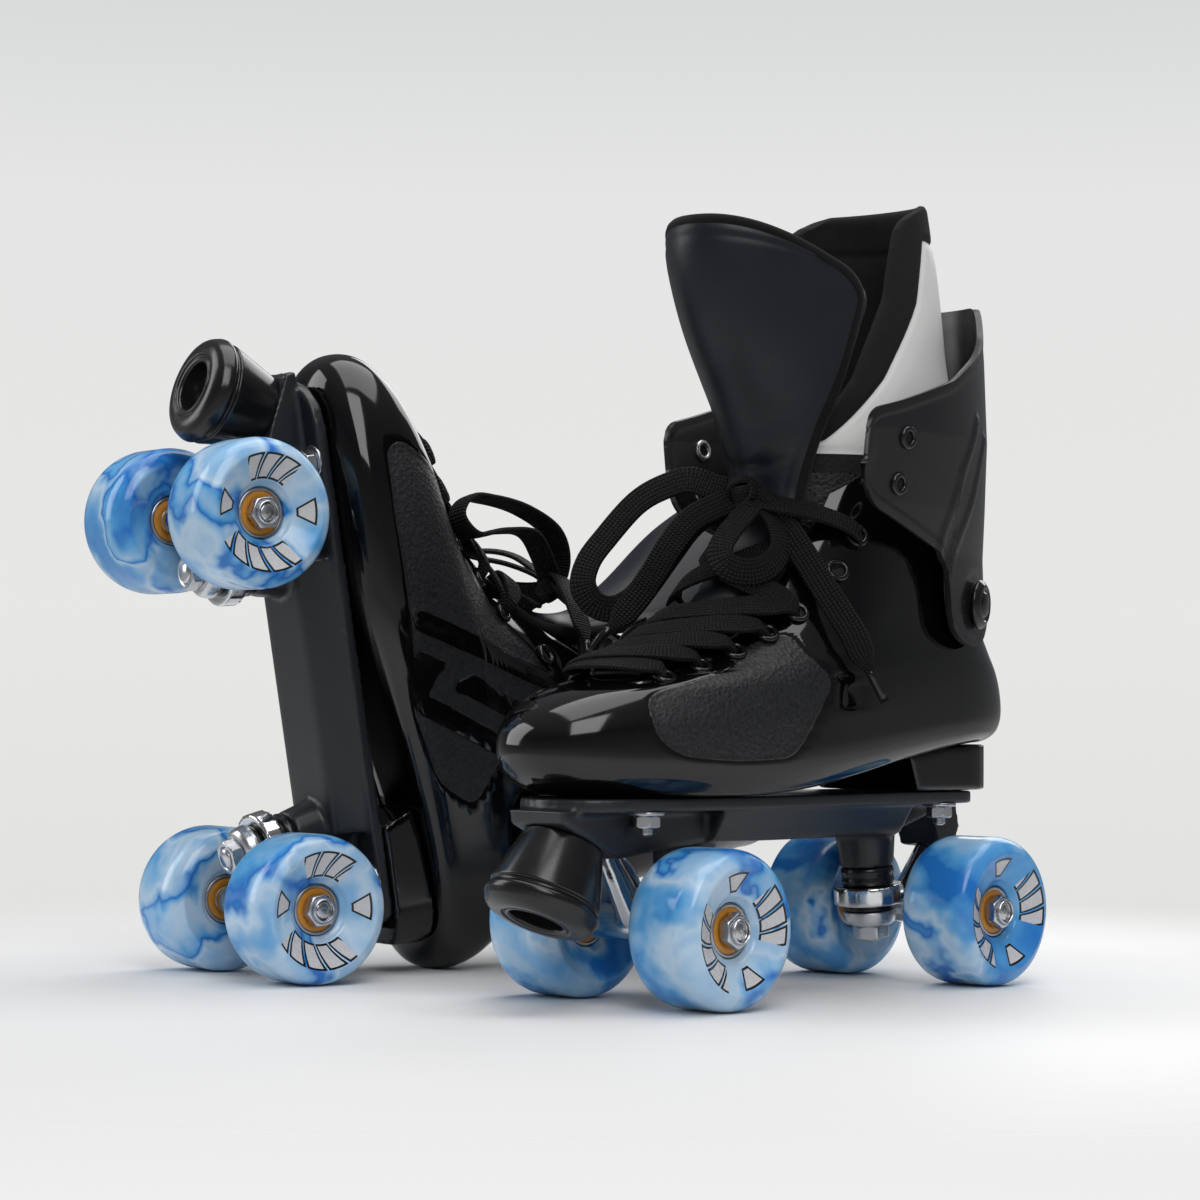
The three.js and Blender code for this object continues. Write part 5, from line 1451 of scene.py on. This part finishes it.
# The bow of each skate: a knot, two short runs to the top eyelets, two loops and two tails, each a
# route that starts at the knot.
BOWS = {
    "left": {
        "knot": [4, -28, 211],
        "routes": {
            "outer_run": [[12, -26, 208], [20, -22, 206], [28, -8, 203], [34, 3, 199]],
            "inner_run": [[-10, -26, 208], [-20, -22, 206], [-28, -8, 203], [-34, 3, 199]],
            "big_loop": [
                [-6, -36, 214], [-14, -41, 217], [-24, -47, 214], [-34, -52, 208], [-44, -61, 193],
                [-48, -68, 182], [-48, -71, 172], [-44, -68, 164], [-38, -63, 162], [-30, -59, 166],
                [-22, -56, 176], [-14, -53, 189], [-8, -46, 200], [0, -35, 207], [4, -28, 211],
            ],
            "front_loop": [
                [10, -29, 207], [12, -38, 200], [12, -46, 193], [12, -51, 186], [15, -51, 180],
                [20, -45, 177], [24, -36, 179], [25, -28, 187], [21, -26, 198], [12, -27, 206],
                [4, -28, 211],
            ],
            "outer_tail": [
                [14, -27, 206], [22, -22, 197], [31, -19, 184], [39, -17, 172], [45, -13, 161],
                [49, -9, 152], [51, -5, 143], [53, 0, 133], [55, 5, 124],
            ],
            "inner_tail": [
                [-2, -34, 207], [-10, -44, 198], [-18, -51, 184], [-26, -58, 169], [-32, -66, 157],
                [-37, -72, 149], [-40, -75, 142],
            ],
        },
    },
    "right": {
        "knot": [0, -29, 211],
        "routes": {
            "outer_run": [[10, -26, 208], [20, -22, 206], [28, -8, 203], [34, 3, 199]],
            "inner_run": [[-10, -26, 208], [-20, -22, 206], [-28, -8, 203], [-34, 3, 199]],
            "big_loop": [
                [-4, -41, 214], [-12, -55, 207], [-20, -68, 187], [-28, -76, 163], [-33, -78, 148],
                [-36, -71, 140], [-36, -62, 146], [-30, -61, 166], [-20, -57, 188], [-10, -44, 201],
                [0, -29, 211],
            ],
            "front_loop": [
                [8, -37, 209], [18, -46, 203], [28, -50, 192], [35, -48, 181], [36, -41, 175],
                [31, -35, 182], [22, -32, 195], [10, -29, 206], [0, -29, 211],
            ],
            "outer_tail": [
                [6, -36, 206], [14, -43, 196], [22, -48, 184], [28, -54, 171], [34, -60, 158],
                [39, -64, 146],
            ],
            "inner_tail": [
                [-8, -34, 210], [-20, -28, 206], [-30, -20, 202], [-38, -10, 199], [-43, 0, 196],
                [-45, 8, 193],
            ],
        },
    },
}
BOW_FACE = {"left": (0.6, -0.8, 0.2), "right": (-0.2, -0.9, 0.35)}  # where the laces leaving the knot look
RUN_FACE = (0.1, -0.6, 1.0)
KNOT_HALF = np.array([9.5, 7, 8])
BOW_WIDTH, BOW_THICKNESS = 11.6, 2.3
AGLET = 17  # length of a lace's sleeved tip
AGLET_RADIUS = 2.1
HIDDEN_END = 6.5  # how far a loop's ends reach into the knot


def bow_path(knot, points, hidden):
    """An even path of a bow's run, with its length; a loop's ends are hidden in the knot."""
    nodes = np.array([knot] + points, float)
    fine = catmull(nodes, np.linspace(0, len(nodes) - 1, 800))
    if hidden:
        apart = np.linalg.norm(fine - np.array(knot), axis=1) > hidden
        fine = fine[np.argmax(apart):len(fine) - np.argmax(apart[::-1])]
    length = float(np.sum(np.linalg.norm(np.diff(fine, axis=0), axis=1)))
    return evenly(fine, max(24, int(length / 2.2))), length


def lace_knot(skate, knot):
    """The knot: three soft turns of lace wound round its middle."""
    centre = np.array(knot, float)
    shapes, uvs = [], []
    for tilt, spin, grow in ((0.25, 0.0, 0.78), (1.35, 0.6, 0.92), (0.8, 2.0, 1.0)):
        a = np.linspace(0, 2 * math.pi, 40)
        loop = np.stack([np.cos(a), np.sin(a) * math.cos(tilt), np.sin(a) * math.sin(tilt)], axis=1)
        c, s = math.cos(spin), math.sin(spin)
        turn = np.array([[c, 0, s], [0, 1, 0], [-s, 0, c]])
        direction = loop @ turn.T
        path = centre + direction * KNOT_HALF * grow * 0.8
        points, faces, uv = flat_lace(path, direction, LACE_WIDTH * 0.92, LACE_THICKNESS * 1.3)
        shapes.append((points, faces))
        uvs.append(uv)
    points, faces = joined(*shapes)
    return make(skate, "lace_knot", points, faces, LACE, slot="lace_weave", uv=np.vstack(uvs))


def bow(skate):
    """The knot and all the cords that leave it, with a sleeved tip on each tail."""
    shape = BOWS[skate.side]
    knot = shape["knot"]
    parts = [lace_knot(skate, knot)]
    for name, route in shape["routes"].items():
        if name.endswith("run"):
            side = 1 if name.startswith("outer") else -1
            angle = eyelet_angle(TOP_EYELET, side)
            direction = skin_direction(TOP_EYELET, angle)
            hole = boot_point(TOP_EYELET, angle)
            route = route + [(hole + direction * 2.6).tolist(), (hole - direction * 2).tolist()]
        path, length = bow_path(knot, route, HIDDEN_END if name.endswith("loop") else 0)
        start = RUN_FACE if name.endswith("run") else BOW_FACE[skate.side]
        outs = carried(path, start)
        tail = name.endswith("tail")
        if tail:
            cut = np.cumsum(np.linalg.norm(np.diff(path[::-1], axis=0), axis=1))
            sleeve = path[::-1][:int(np.searchsorted(cut, AGLET)) + 1][::-1]
        pinch = np.ones(len(path))
        if tail:
            from_tip = np.concatenate([cut[::-1], [0]])
            pinch = mix(0.36, 1.0, ease(from_tip, AGLET - 3, AGLET + 7))
        points, faces, uv = flat_lace(path, outs, BOW_WIDTH, BOW_THICKNESS, pinch=pinch)
        piece = make(skate, f"lace_{name}", points, faces, LACE, ["lace_bow"], slot="lace_weave", uv=uv)
        if name.endswith("run"):
            parts.append(piece)
            continue
        if tail:
            tip = tube(skate, f"aglet_{name}", sleeve, AGLET_RADIUS, GLOSS, slot="lace_weave")
        skate.place(knot)
        skate.place(path).tolist()


# ---- Plate, heel block and hangers, smoothed from the CAD shapes --------------------------------


def moulded(skate, node, piece, material, voxel, passes, body=ROOT):
    """A moulded or cast piece: the CAD shape with its edges softened."""
    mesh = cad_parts[skate.name(node)].data.copy()
    mesh.materials.clear()
    work = bmesh.new()
    work.from_mesh(mesh)
    bmesh.ops.remove_doubles(work, verts=work.verts, dist=0.02 * MM)
    work.to_mesh(mesh)
    work.free()
    piece_object = linked(skate.name(piece), mesh)
    mesh.materials.append(material)
    remesh = piece_object.modifiers.new("Cast", "REMESH")
    remesh.mode = "VOXEL"
    remesh.voxel_size = voxel * MM
    remesh.use_smooth_shade = True
    soften = piece_object.modifiers.new("Soften", "SMOOTH")
    soften.factor = 0.5
    soften.iterations = passes
    apply_modifiers(piece_object)
    add_local(piece_object, skate)
    finish_piece(piece_object, skate, [node], body)
    return piece_object


MOUNTING_SIDE = 21.5  # distance of the mounting nuts from the boot's middle line
MOUNTING_PLACES = {"front": -104, "rear": 84}
WASHER = [(3, -0.4), (7.4, -0.4), (7.4, 1.1), (3, 1.1)]


def base(skate):
    moulded(skate, "plate", "sole_plate", NYLON, 1.15, 4)
    moulded(skate, "heel_block", "heel_wedge", BOOT, 1.2, 4)
    for side, face in ((1, "outer"), (-1, "inner")):
        for where, y in MOUNTING_PLACES.items():
            origin = (side * MOUNTING_SIDE, y, PLATE_TOP - FLANGE - 0.1)
            place = axis_frame(origin, (0, 0, -1))
            washer = turned(rounded(WASHER, [0, 0.4, 0.4, 0], 3), place, 40)
            low = axis_frame(np.array(origin) + [0, 0, -1.1], (0, 0, -1))
            hexed = nut(low, 10, 5.2, 2.6, 60)
            tip = threaded(low, 2.9, 0.5, 8.4)
            make(skate, f"mounting_nut_{face}_{where}", *joined(washer, hexed, tip), ZINC,
                 slot="hardware_zinc", weld=0.01)


# ---- Toe stop ---------------------------------------------------------------------------------


def toe_stop(skate):
    axis = np.array([0, math.sin(STOP_TILT), math.cos(STOP_TILT)])
    place = axis_frame((0, *STOP_SEAT), axis)
    deep = -STOP_HEIGHT
    profile = [
        (7.3, -GAP), (STOP_TOP_RADIUS, -GAP), (STOP_TOP_RADIUS + 0.6, -2), (STOP_RADIUS - 0.8, deep + 11.5),
        (STOP_RADIUS - 2.0, deep + 10.6), (STOP_RADIUS - 2.0, deep + 9.6), (STOP_RADIUS - 0.2, deep + 8.6),
        (STOP_RADIUS, deep + 6.5), (STOP_RADIUS - 2.0, deep + 1.8), (STOP_RADIUS - 6.5, deep),
        (STOP_BORE + 3.6, deep), (STOP_BORE + 3.2, deep + 0.9), (STOP_BORE + 2.4, deep + 0.9),
        (STOP_BORE + 2.0, deep + 0.1), (STOP_BORE + 0.8, deep + 0.2), (STOP_BORE, deep + 1.2),
        (STOP_BORE, deep + 14), (7.3, deep + 14),
    ]
    radii = [0, 2, 2, 1.2, 0.4, 0.4, 1.2, 3, 3, 2, 0.4, 0.4, 0.4, 0.4, 0.6, 0.8, 0.6, 0]
    make(skate, "toe_stop_rubber", *turned(rounded(profile, radii, 5), place, 128, closed=True), RUBBER,
         ["toe_stop"], slot="stop_rubber", weld=0.01)
    head = deep + 14 - GAP
    stem = [(0, 10), (6.4, 10), (7, 9.4), (7, head), (9.8, head), (9.8, head - 2.4), (9.0, head - 3),
            (4.2, head - 3), (4.2, head - 1.2), (0, head - 1.2)]
    stem = rounded(stem, [0, 0.4, 0.4, 0.3, 0.3, 0.5, 0.5, 0.2, 0.2, 0], 3)
    make(skate, "toe_stop_bolt", *turned(stem, place, 64), ZINC, ["toe_stop_stem"], slot="hardware_zinc",
         weld=0.01)


# ---- Trucks -----------------------------------------------------------------------------------


KINGPIN_TOP = 38  # height of the kingpin's hidden end over its ring


def at_axle(end, point, direction=False):
    """A point or direction of a truck's own frame in the skate's frame."""
    p = np.array(point, float) * ([-1, -1, 1] if end > 0 else [1, 1, 1])
    return p if direction else p + [0, end * WHEELBASE / 2, WHEEL_RADIUS]


def kingpin_place(end):
    axis = at_axle(end, (0, math.sin(KINGPIN_LEAN), math.cos(KINGPIN_LEAN)), direction=True)
    return axis_frame(at_axle(end, (0, KINGPIN_INSET, RING_HEIGHT - WHEEL_RADIUS)), axis)


def truck(skate, end, where):
    body = f"{skate.side}_{where}_truck"
    moulded(skate, f"{where}_hanger", f"{where}_truck_casting", CHROME, 0.8, 5, body)
    place = kingpin_place(end)
    cup_top = -RING_THICKNESS / 2 - LOWER_CUSHION
    boss = RING_THICKNESS / 2 + UPPER_CUSHION
    half = RING_THICKNESS / 2 + GAP
    bore = KINGPIN_RADIUS + GAP
    cushion = [
        (bore, boss - GAP), (CUSHION_RADIUS - 0.6, boss - GAP), (CUSHION_RADIUS, boss - 2.5),
        (CUSHION_RADIUS - 0.7, (boss + half) / 2), (CUSHION_RADIUS, half + 1.6), (CUSHION_RADIUS - 0.6, half),
        (7.6, half), (7.6, -half), (CUSHION_RADIUS - 1.2, -half), (CUSHION_RADIUS - 0.8, cup_top + 0.8),
        (CUSHION_RADIUS - 1.2, cup_top), (bore, cup_top),
    ]
    radii = [0, 0.8, 1, 3, 1, 0.6, 0.3, 0.3, 0.5, 0.5, 0.5, 0]
    make(skate, f"{where}_bushing", *turned(rounded(cushion, radii, 4), place, 64, closed=True), RUBBER,
         [f"{where}_cushion"], slot="stop_rubber", weld=0.01)
    top = cup_top - GAP
    cup = rounded([(KINGPIN_RADIUS, top), (CUSHION_RADIUS, top), (CUSHION_RADIUS, top - 1.6),
                   (CUSHION_RADIUS - 0.9, top - CUP_HEIGHT + 1.4), (CUSHION_RADIUS - 2.6, top - CUP_HEIGHT),
                   (KINGPIN_RADIUS, top - CUP_HEIGHT)], [0, 0.6, 0.8, 1.4, 1, 0], 4)
    origin, axis, u, v = place
    below = (origin + axis * (top - CUP_HEIGHT), -axis, u, v)
    pin = turned([(0, KINGPIN_TOP), (KINGPIN_RADIUS, KINGPIN_TOP), (KINGPIN_RADIUS, top - CUP_HEIGHT),
                  (0, top - CUP_HEIGHT)], place, 32)
    end_nut = nut(below, KINGPIN_NUT_ACROSS, KINGPIN_NUT_HEIGHT, KINGPIN_RADIUS - 0.3)
    end_thread = threaded(below, KINGPIN_RADIUS, 0.2, KINGPIN_NUT_HEIGHT + 1)
    shape = joined(turned(cup, place, 64, closed=True), pin, end_nut, end_thread)
    make(skate, f"{where}_kingpin_bolt", *shape, ZINC, [f"{where}_kingpin"], slot="hardware_zinc", weld=0.01)
    for out, face in ((1, "outer"), (-1, "inner")):
        hub = np.array([out * WHEEL_TRACK / 2, end * WHEELBASE / 2, WHEEL_RADIUS])
        side = np.array([out, 0, 0])
        facing = axis_frame(hub + side * (HUB_FACE + GAP), side)
        locking = [(AXLE_RADIUS + 0.5, NUT_HEIGHT - 0.2), (5.4, NUT_HEIGHT - 0.2), (5.3, NUT_HEIGHT + 1.2),
                   (4.7, NUT_HEIGHT + 1.7), (AXLE_RADIUS + 0.5, NUT_HEIGHT + 1.7)]
        collar = turned(rounded(locking, [0, 0, 0.4, 0.4, 0], 3), facing, 48, closed=True)
        hexed = nut(facing, NUT_ACROSS_FLATS, NUT_HEIGHT, AXLE_RADIUS + 0.4)
        make(skate, f"{where}_{face}_lock_nut", *joined(hexed, collar), ZINC, [f"{where}_{face}_nut"], body,
             "hardware_zinc", weld=0.01)
        tip = threaded(axis_frame(hub, side), AXLE_RADIUS + 0.25, HUB_FACE - 4, AXLE_TIP)
        make(skate, f"{where}_{face}_axle_thread", *tip, ZINC, body=body, slot="hardware_zinc", weld=0.01)
        wheel(skate, where, face, hub, side)


# ---- Wheels -----------------------------------------------------------------------------------


# The bearing's rings and shield, in from the wheel's face.
OUTER_RING = [(BEARING_RADIUS, -7), (BEARING_RADIUS, -0.5), (BEARING_RADIUS - 0.4, -0.02), (9.75, -0.02),
              (9.4, -0.35), (9.4, -0.7)]
SHIELD = [(9.4, -0.55), (8.9, -0.5), (8.6, -0.32), (6.3, -0.32), (6.0, -0.55), (5.7, -0.55)]
INNER_RING = [(5.7, -0.7), (5.7, -0.2), (5.5, -0.02), (4.6, -0.02), (4.3, -0.3), (4.3, -7)]
WHEEL_ORDER = ["front_outer", "front_inner", "rear_outer", "rear_inner"]
POUR_STEP = 0.137  # moves each wheel's swirl on from the last one's


def wheel(skate, where, face, hub, side):
    """A wheel with its two bearings; its printed shapes are on the outer face."""
    body = f"{skate.side}_{where}_{face}_wheel_body"
    place = axis_frame(hub, side)
    edge = WHEEL_WIDTH / 2
    seat = BEARING_RADIUS + GAP
    half = [
        (BEARING_RADIUS - 2, 3.3), (seat, 3.3), (seat, HUB_FACE + 0.2), (seat + 0.9, HUB_FACE + 0.9),
        (PRINT_INNER / MM - 1.6, HUB_FACE + 1.5), (PRINT_INNER / MM - 0.6, HUB_FACE + 2.6),
        (WHEEL_RADIUS - WHEEL_LIP - 0.8, edge - 0.9), (WHEEL_RADIUS - WHEEL_LIP + 0.8, edge - 0.2),
        (WHEEL_RADIUS - 1.9, edge - 2.6), (WHEEL_RADIUS, edge - WHEEL_LIP), (WHEEL_RADIUS, 4.0),
    ]
    radii = [0, 0.3, 0.5, 0.7, 0.8, 0.8, 1.5, 1.5, 4.5, 3.5, 0]
    profile = rounded(half, radii, 6)
    other = [np.array([r, -x]) for r, x in profile[::-1]]
    points, faces = turned([*profile, *other], place, 96, closed=True)
    origin, axis, u, v = place
    rel = points - origin
    disc = np.stack([rel @ axis, rel @ u, rel @ v], axis=1)
    printed = ((disc[:, 0] > 2) & (np.hypot(disc[:, 1], disc[:, 2]) < WHEEL_RADIUS - 3)).astype(float)
    pour = (WHEEL_ORDER.index(f"{where}_{face}") + (5 if skate.mirrored else 0)) * POUR_STEP
    masks = {"printed": printed, "pour": np.full(len(points), pour)}
    piece = make(skate, f"{where}_{face}_urethane_wheel", points, faces, WHEEL, [f"{where}_{face}_wheel"],
                 body, "wheel_urethane", masks=masks, weld=0.01)
    add_disc(piece, place)
    rings, steel = [], []
    for sign in (1, -1):
        facing = (hub + side * sign * HUB_FACE, side * sign, u, v)
        for profile, metal in ((OUTER_RING, 1.0), (SHIELD, 0.0), (INNER_RING, 1.0)):
            shape = turned(profile, facing, 64)
            rings.append(shape)
            steel.append(np.full(len(shape[0]), metal))
    points, faces = joined(*rings)
    make(skate, f"{where}_{face}_ball_bearings", points, faces, BEARING, [f"{where}_{face}_bearings"], body,
         "bearing_shield", masks={"steel": np.concatenate(steel)}, weld=0.001)


def add_disc(piece, place):
    """Stores each vertex's place on the wheel: along the axle, then across it, in metres."""
    origin, axis, u, v = place
    mesh = piece.data
    local = np.zeros(len(mesh.vertices) * 3, np.float32)
    mesh.attributes["local"].data.foreach_get("vector", local)
    rel = local.reshape(-1, 3) - origin * MM
    store(mesh, "disc", np.stack([rel @ axis, rel @ u, rel @ v], axis=1))


# ---- Camera, light and floor ------------------------------------------------------------------

SENSOR = 36
LENS = 92.508
CAMERA_DISTANCE = 1324.184
CAMERA_AZIMUTH = math.radians(44.512)
CAMERA_ELEVATION = math.radians(-1.79)
CAMERA_ROLL = math.radians(0.435)
CAMERA_AIM = (-76.741, 166.38)  # to the right of the left skate's middle, and above the ground


def camera(skate):
    right = np.array([math.cos(CAMERA_AZIMUTH), math.sin(CAMERA_AZIMUTH), 0])
    level = math.cos(CAMERA_ELEVATION)
    back = np.array([math.sin(CAMERA_AZIMUTH) * level, -math.cos(CAMERA_AZIMUTH) * level,
                     math.sin(CAMERA_ELEVATION)])
    up = np.cross(back, right)
    c, s = math.cos(CAMERA_ROLL), math.sin(CAMERA_ROLL)
    rolled_right, rolled_up = c * right + s * up, -s * right + c * up
    target = CAMERA_AIM[0] * right + np.array([0, 0, CAMERA_AIM[1]])
    data = bpy.data.cameras.new("camera")
    data.sensor_width = SENSOR
    data.lens = LENS
    data.clip_start, data.clip_end = 0.05, 50
    eye = linked("camera", data)
    eye.matrix_world = Matrix(np.array([rolled_right, rolled_up, back]).T.tolist()).to_4x4()
    eye.location = skate.place(target + back * CAMERA_DISTANCE)
    bpy.context.scene.camera = eye


# Each soft light: its place and aim, its width and height, and its power.
SOFTBOXES = {
    "key": ((1.3, -1.0, 1.5), (0, 0, 0.12), (0.9, 1.4), 17),
    "fill": ((-1.6, -1.2, 1.0), (0, 0, 0.12), (1.0, 1.6), 16),
    "overhead": ((0.1, 0.2, 2.0), (0, 0, 0), (1.8, 1.8), 27),
    "rim": ((-0.6, 1.7, 1.1), (0, 0, 0.15), (1.6, 0.9), 12),
}


def softbox(name, place, aim, size, power):
    data = bpy.data.lights.new(name, "AREA")
    data.shape = "RECTANGLE"
    data.size, data.size_y = size
    data.energy = power
    box = linked(name, data)
    box.location = place
    box.rotation_euler = (Vector(aim) - Vector(place)).to_track_quat("-Z", "Y").to_euler()


FLOOR_RADIUS = 3.0
FLOOR_SIDES = 96
FLOOR_FADE = (0.3, 0.62)  # where the pale floor turns into the backdrop's grey


# What the camera sees behind the skates, and what the skates reflect: colours from low to high.
BACKDROP = [(0.0, (0.88, 0.88, 0.88)), (0.2, (0.76, 0.76, 0.745)), (0.42, (0.8, 0.8, 0.785)),
            (0.7, (0.78, 0.785, 0.78)), (1.0, (0.58, 0.6, 0.61))]
ROOM = [(0.0, (0.44, 0.44, 0.44)), (0.2, (0.2, 0.205, 0.21)), (0.5, (0.09, 0.095, 0.1)),
        (1.0, (0.26, 0.26, 0.27))]


def studio():
    bpy.context.scene.view_settings.view_transform = "Standard"
    world = bpy.data.worlds.new("studio")
    bpy.context.scene.world = world
    world.use_nodes = True
    t = Tree(world.node_tree)
    background = world.node_tree.nodes["Background"]
    height = t.parts(t.node("ShaderNodeTexCoord", out=0))[2]
    backdrop = t.ramp(t.band(height, -0.17, 0.3), BACKDROP)
    room = t.ramp(t.band(height, -0.2, 0.9), ROOM)
    seen = t.node("ShaderNodeLightPath")
    world.node_tree.links.new(t.mixed(seen, room, backdrop), background.inputs["Color"])
    mesh = bpy.data.meshes.new("floor")
    angles = np.linspace(0, 2 * math.pi, FLOOR_SIDES + 1)[:-1]
    ring = [(FLOOR_RADIUS * math.cos(a), FLOOR_RADIUS * math.sin(a), 0) for a in angles]
    mesh.from_pydata(ring, [], [list(range(FLOOR_SIDES))])
    floor = linked("floor", mesh)
    m = Material("floor_paper", (0.86, 0.865, 0.87), 0.55)
    place = m.node("ShaderNodeTexCoord", out=3)
    reach = m.node("ShaderNodeVectorMath", place, operation="LENGTH", out=1)
    fade = m.band(reach, *FLOOR_FADE, 1.0, 0.0, smooth=True)
    m.set("Base Color", m.mixed(m.noise(place, 3.0), (0.8, 0.8, 0.798), (0.82, 0.82, 0.818)))
    m.set("Alpha", fade)
    mesh.materials.append(m.material)
    for name, light in SOFTBOXES.items():
        softbox(name, *light)


# ---- Both skates ------------------------------------------------------------------------------

SKATES = [Skate("left"), Skate("right")]
camera(SKATES[0])
for skate in SKATES:
    bow(skate)
for skate in SKATES:
    boot_shell(skate)
    liner(skate)
    tongue(skate)
    cuff(skate)
    cuff_rivets(skate)
    flap_eyelets(skate)
    laces(skate)
    base(skate)
    toe_stop(skate)
    truck(skate, -1, "front")
    truck(skate, 1, "rear")
studio()
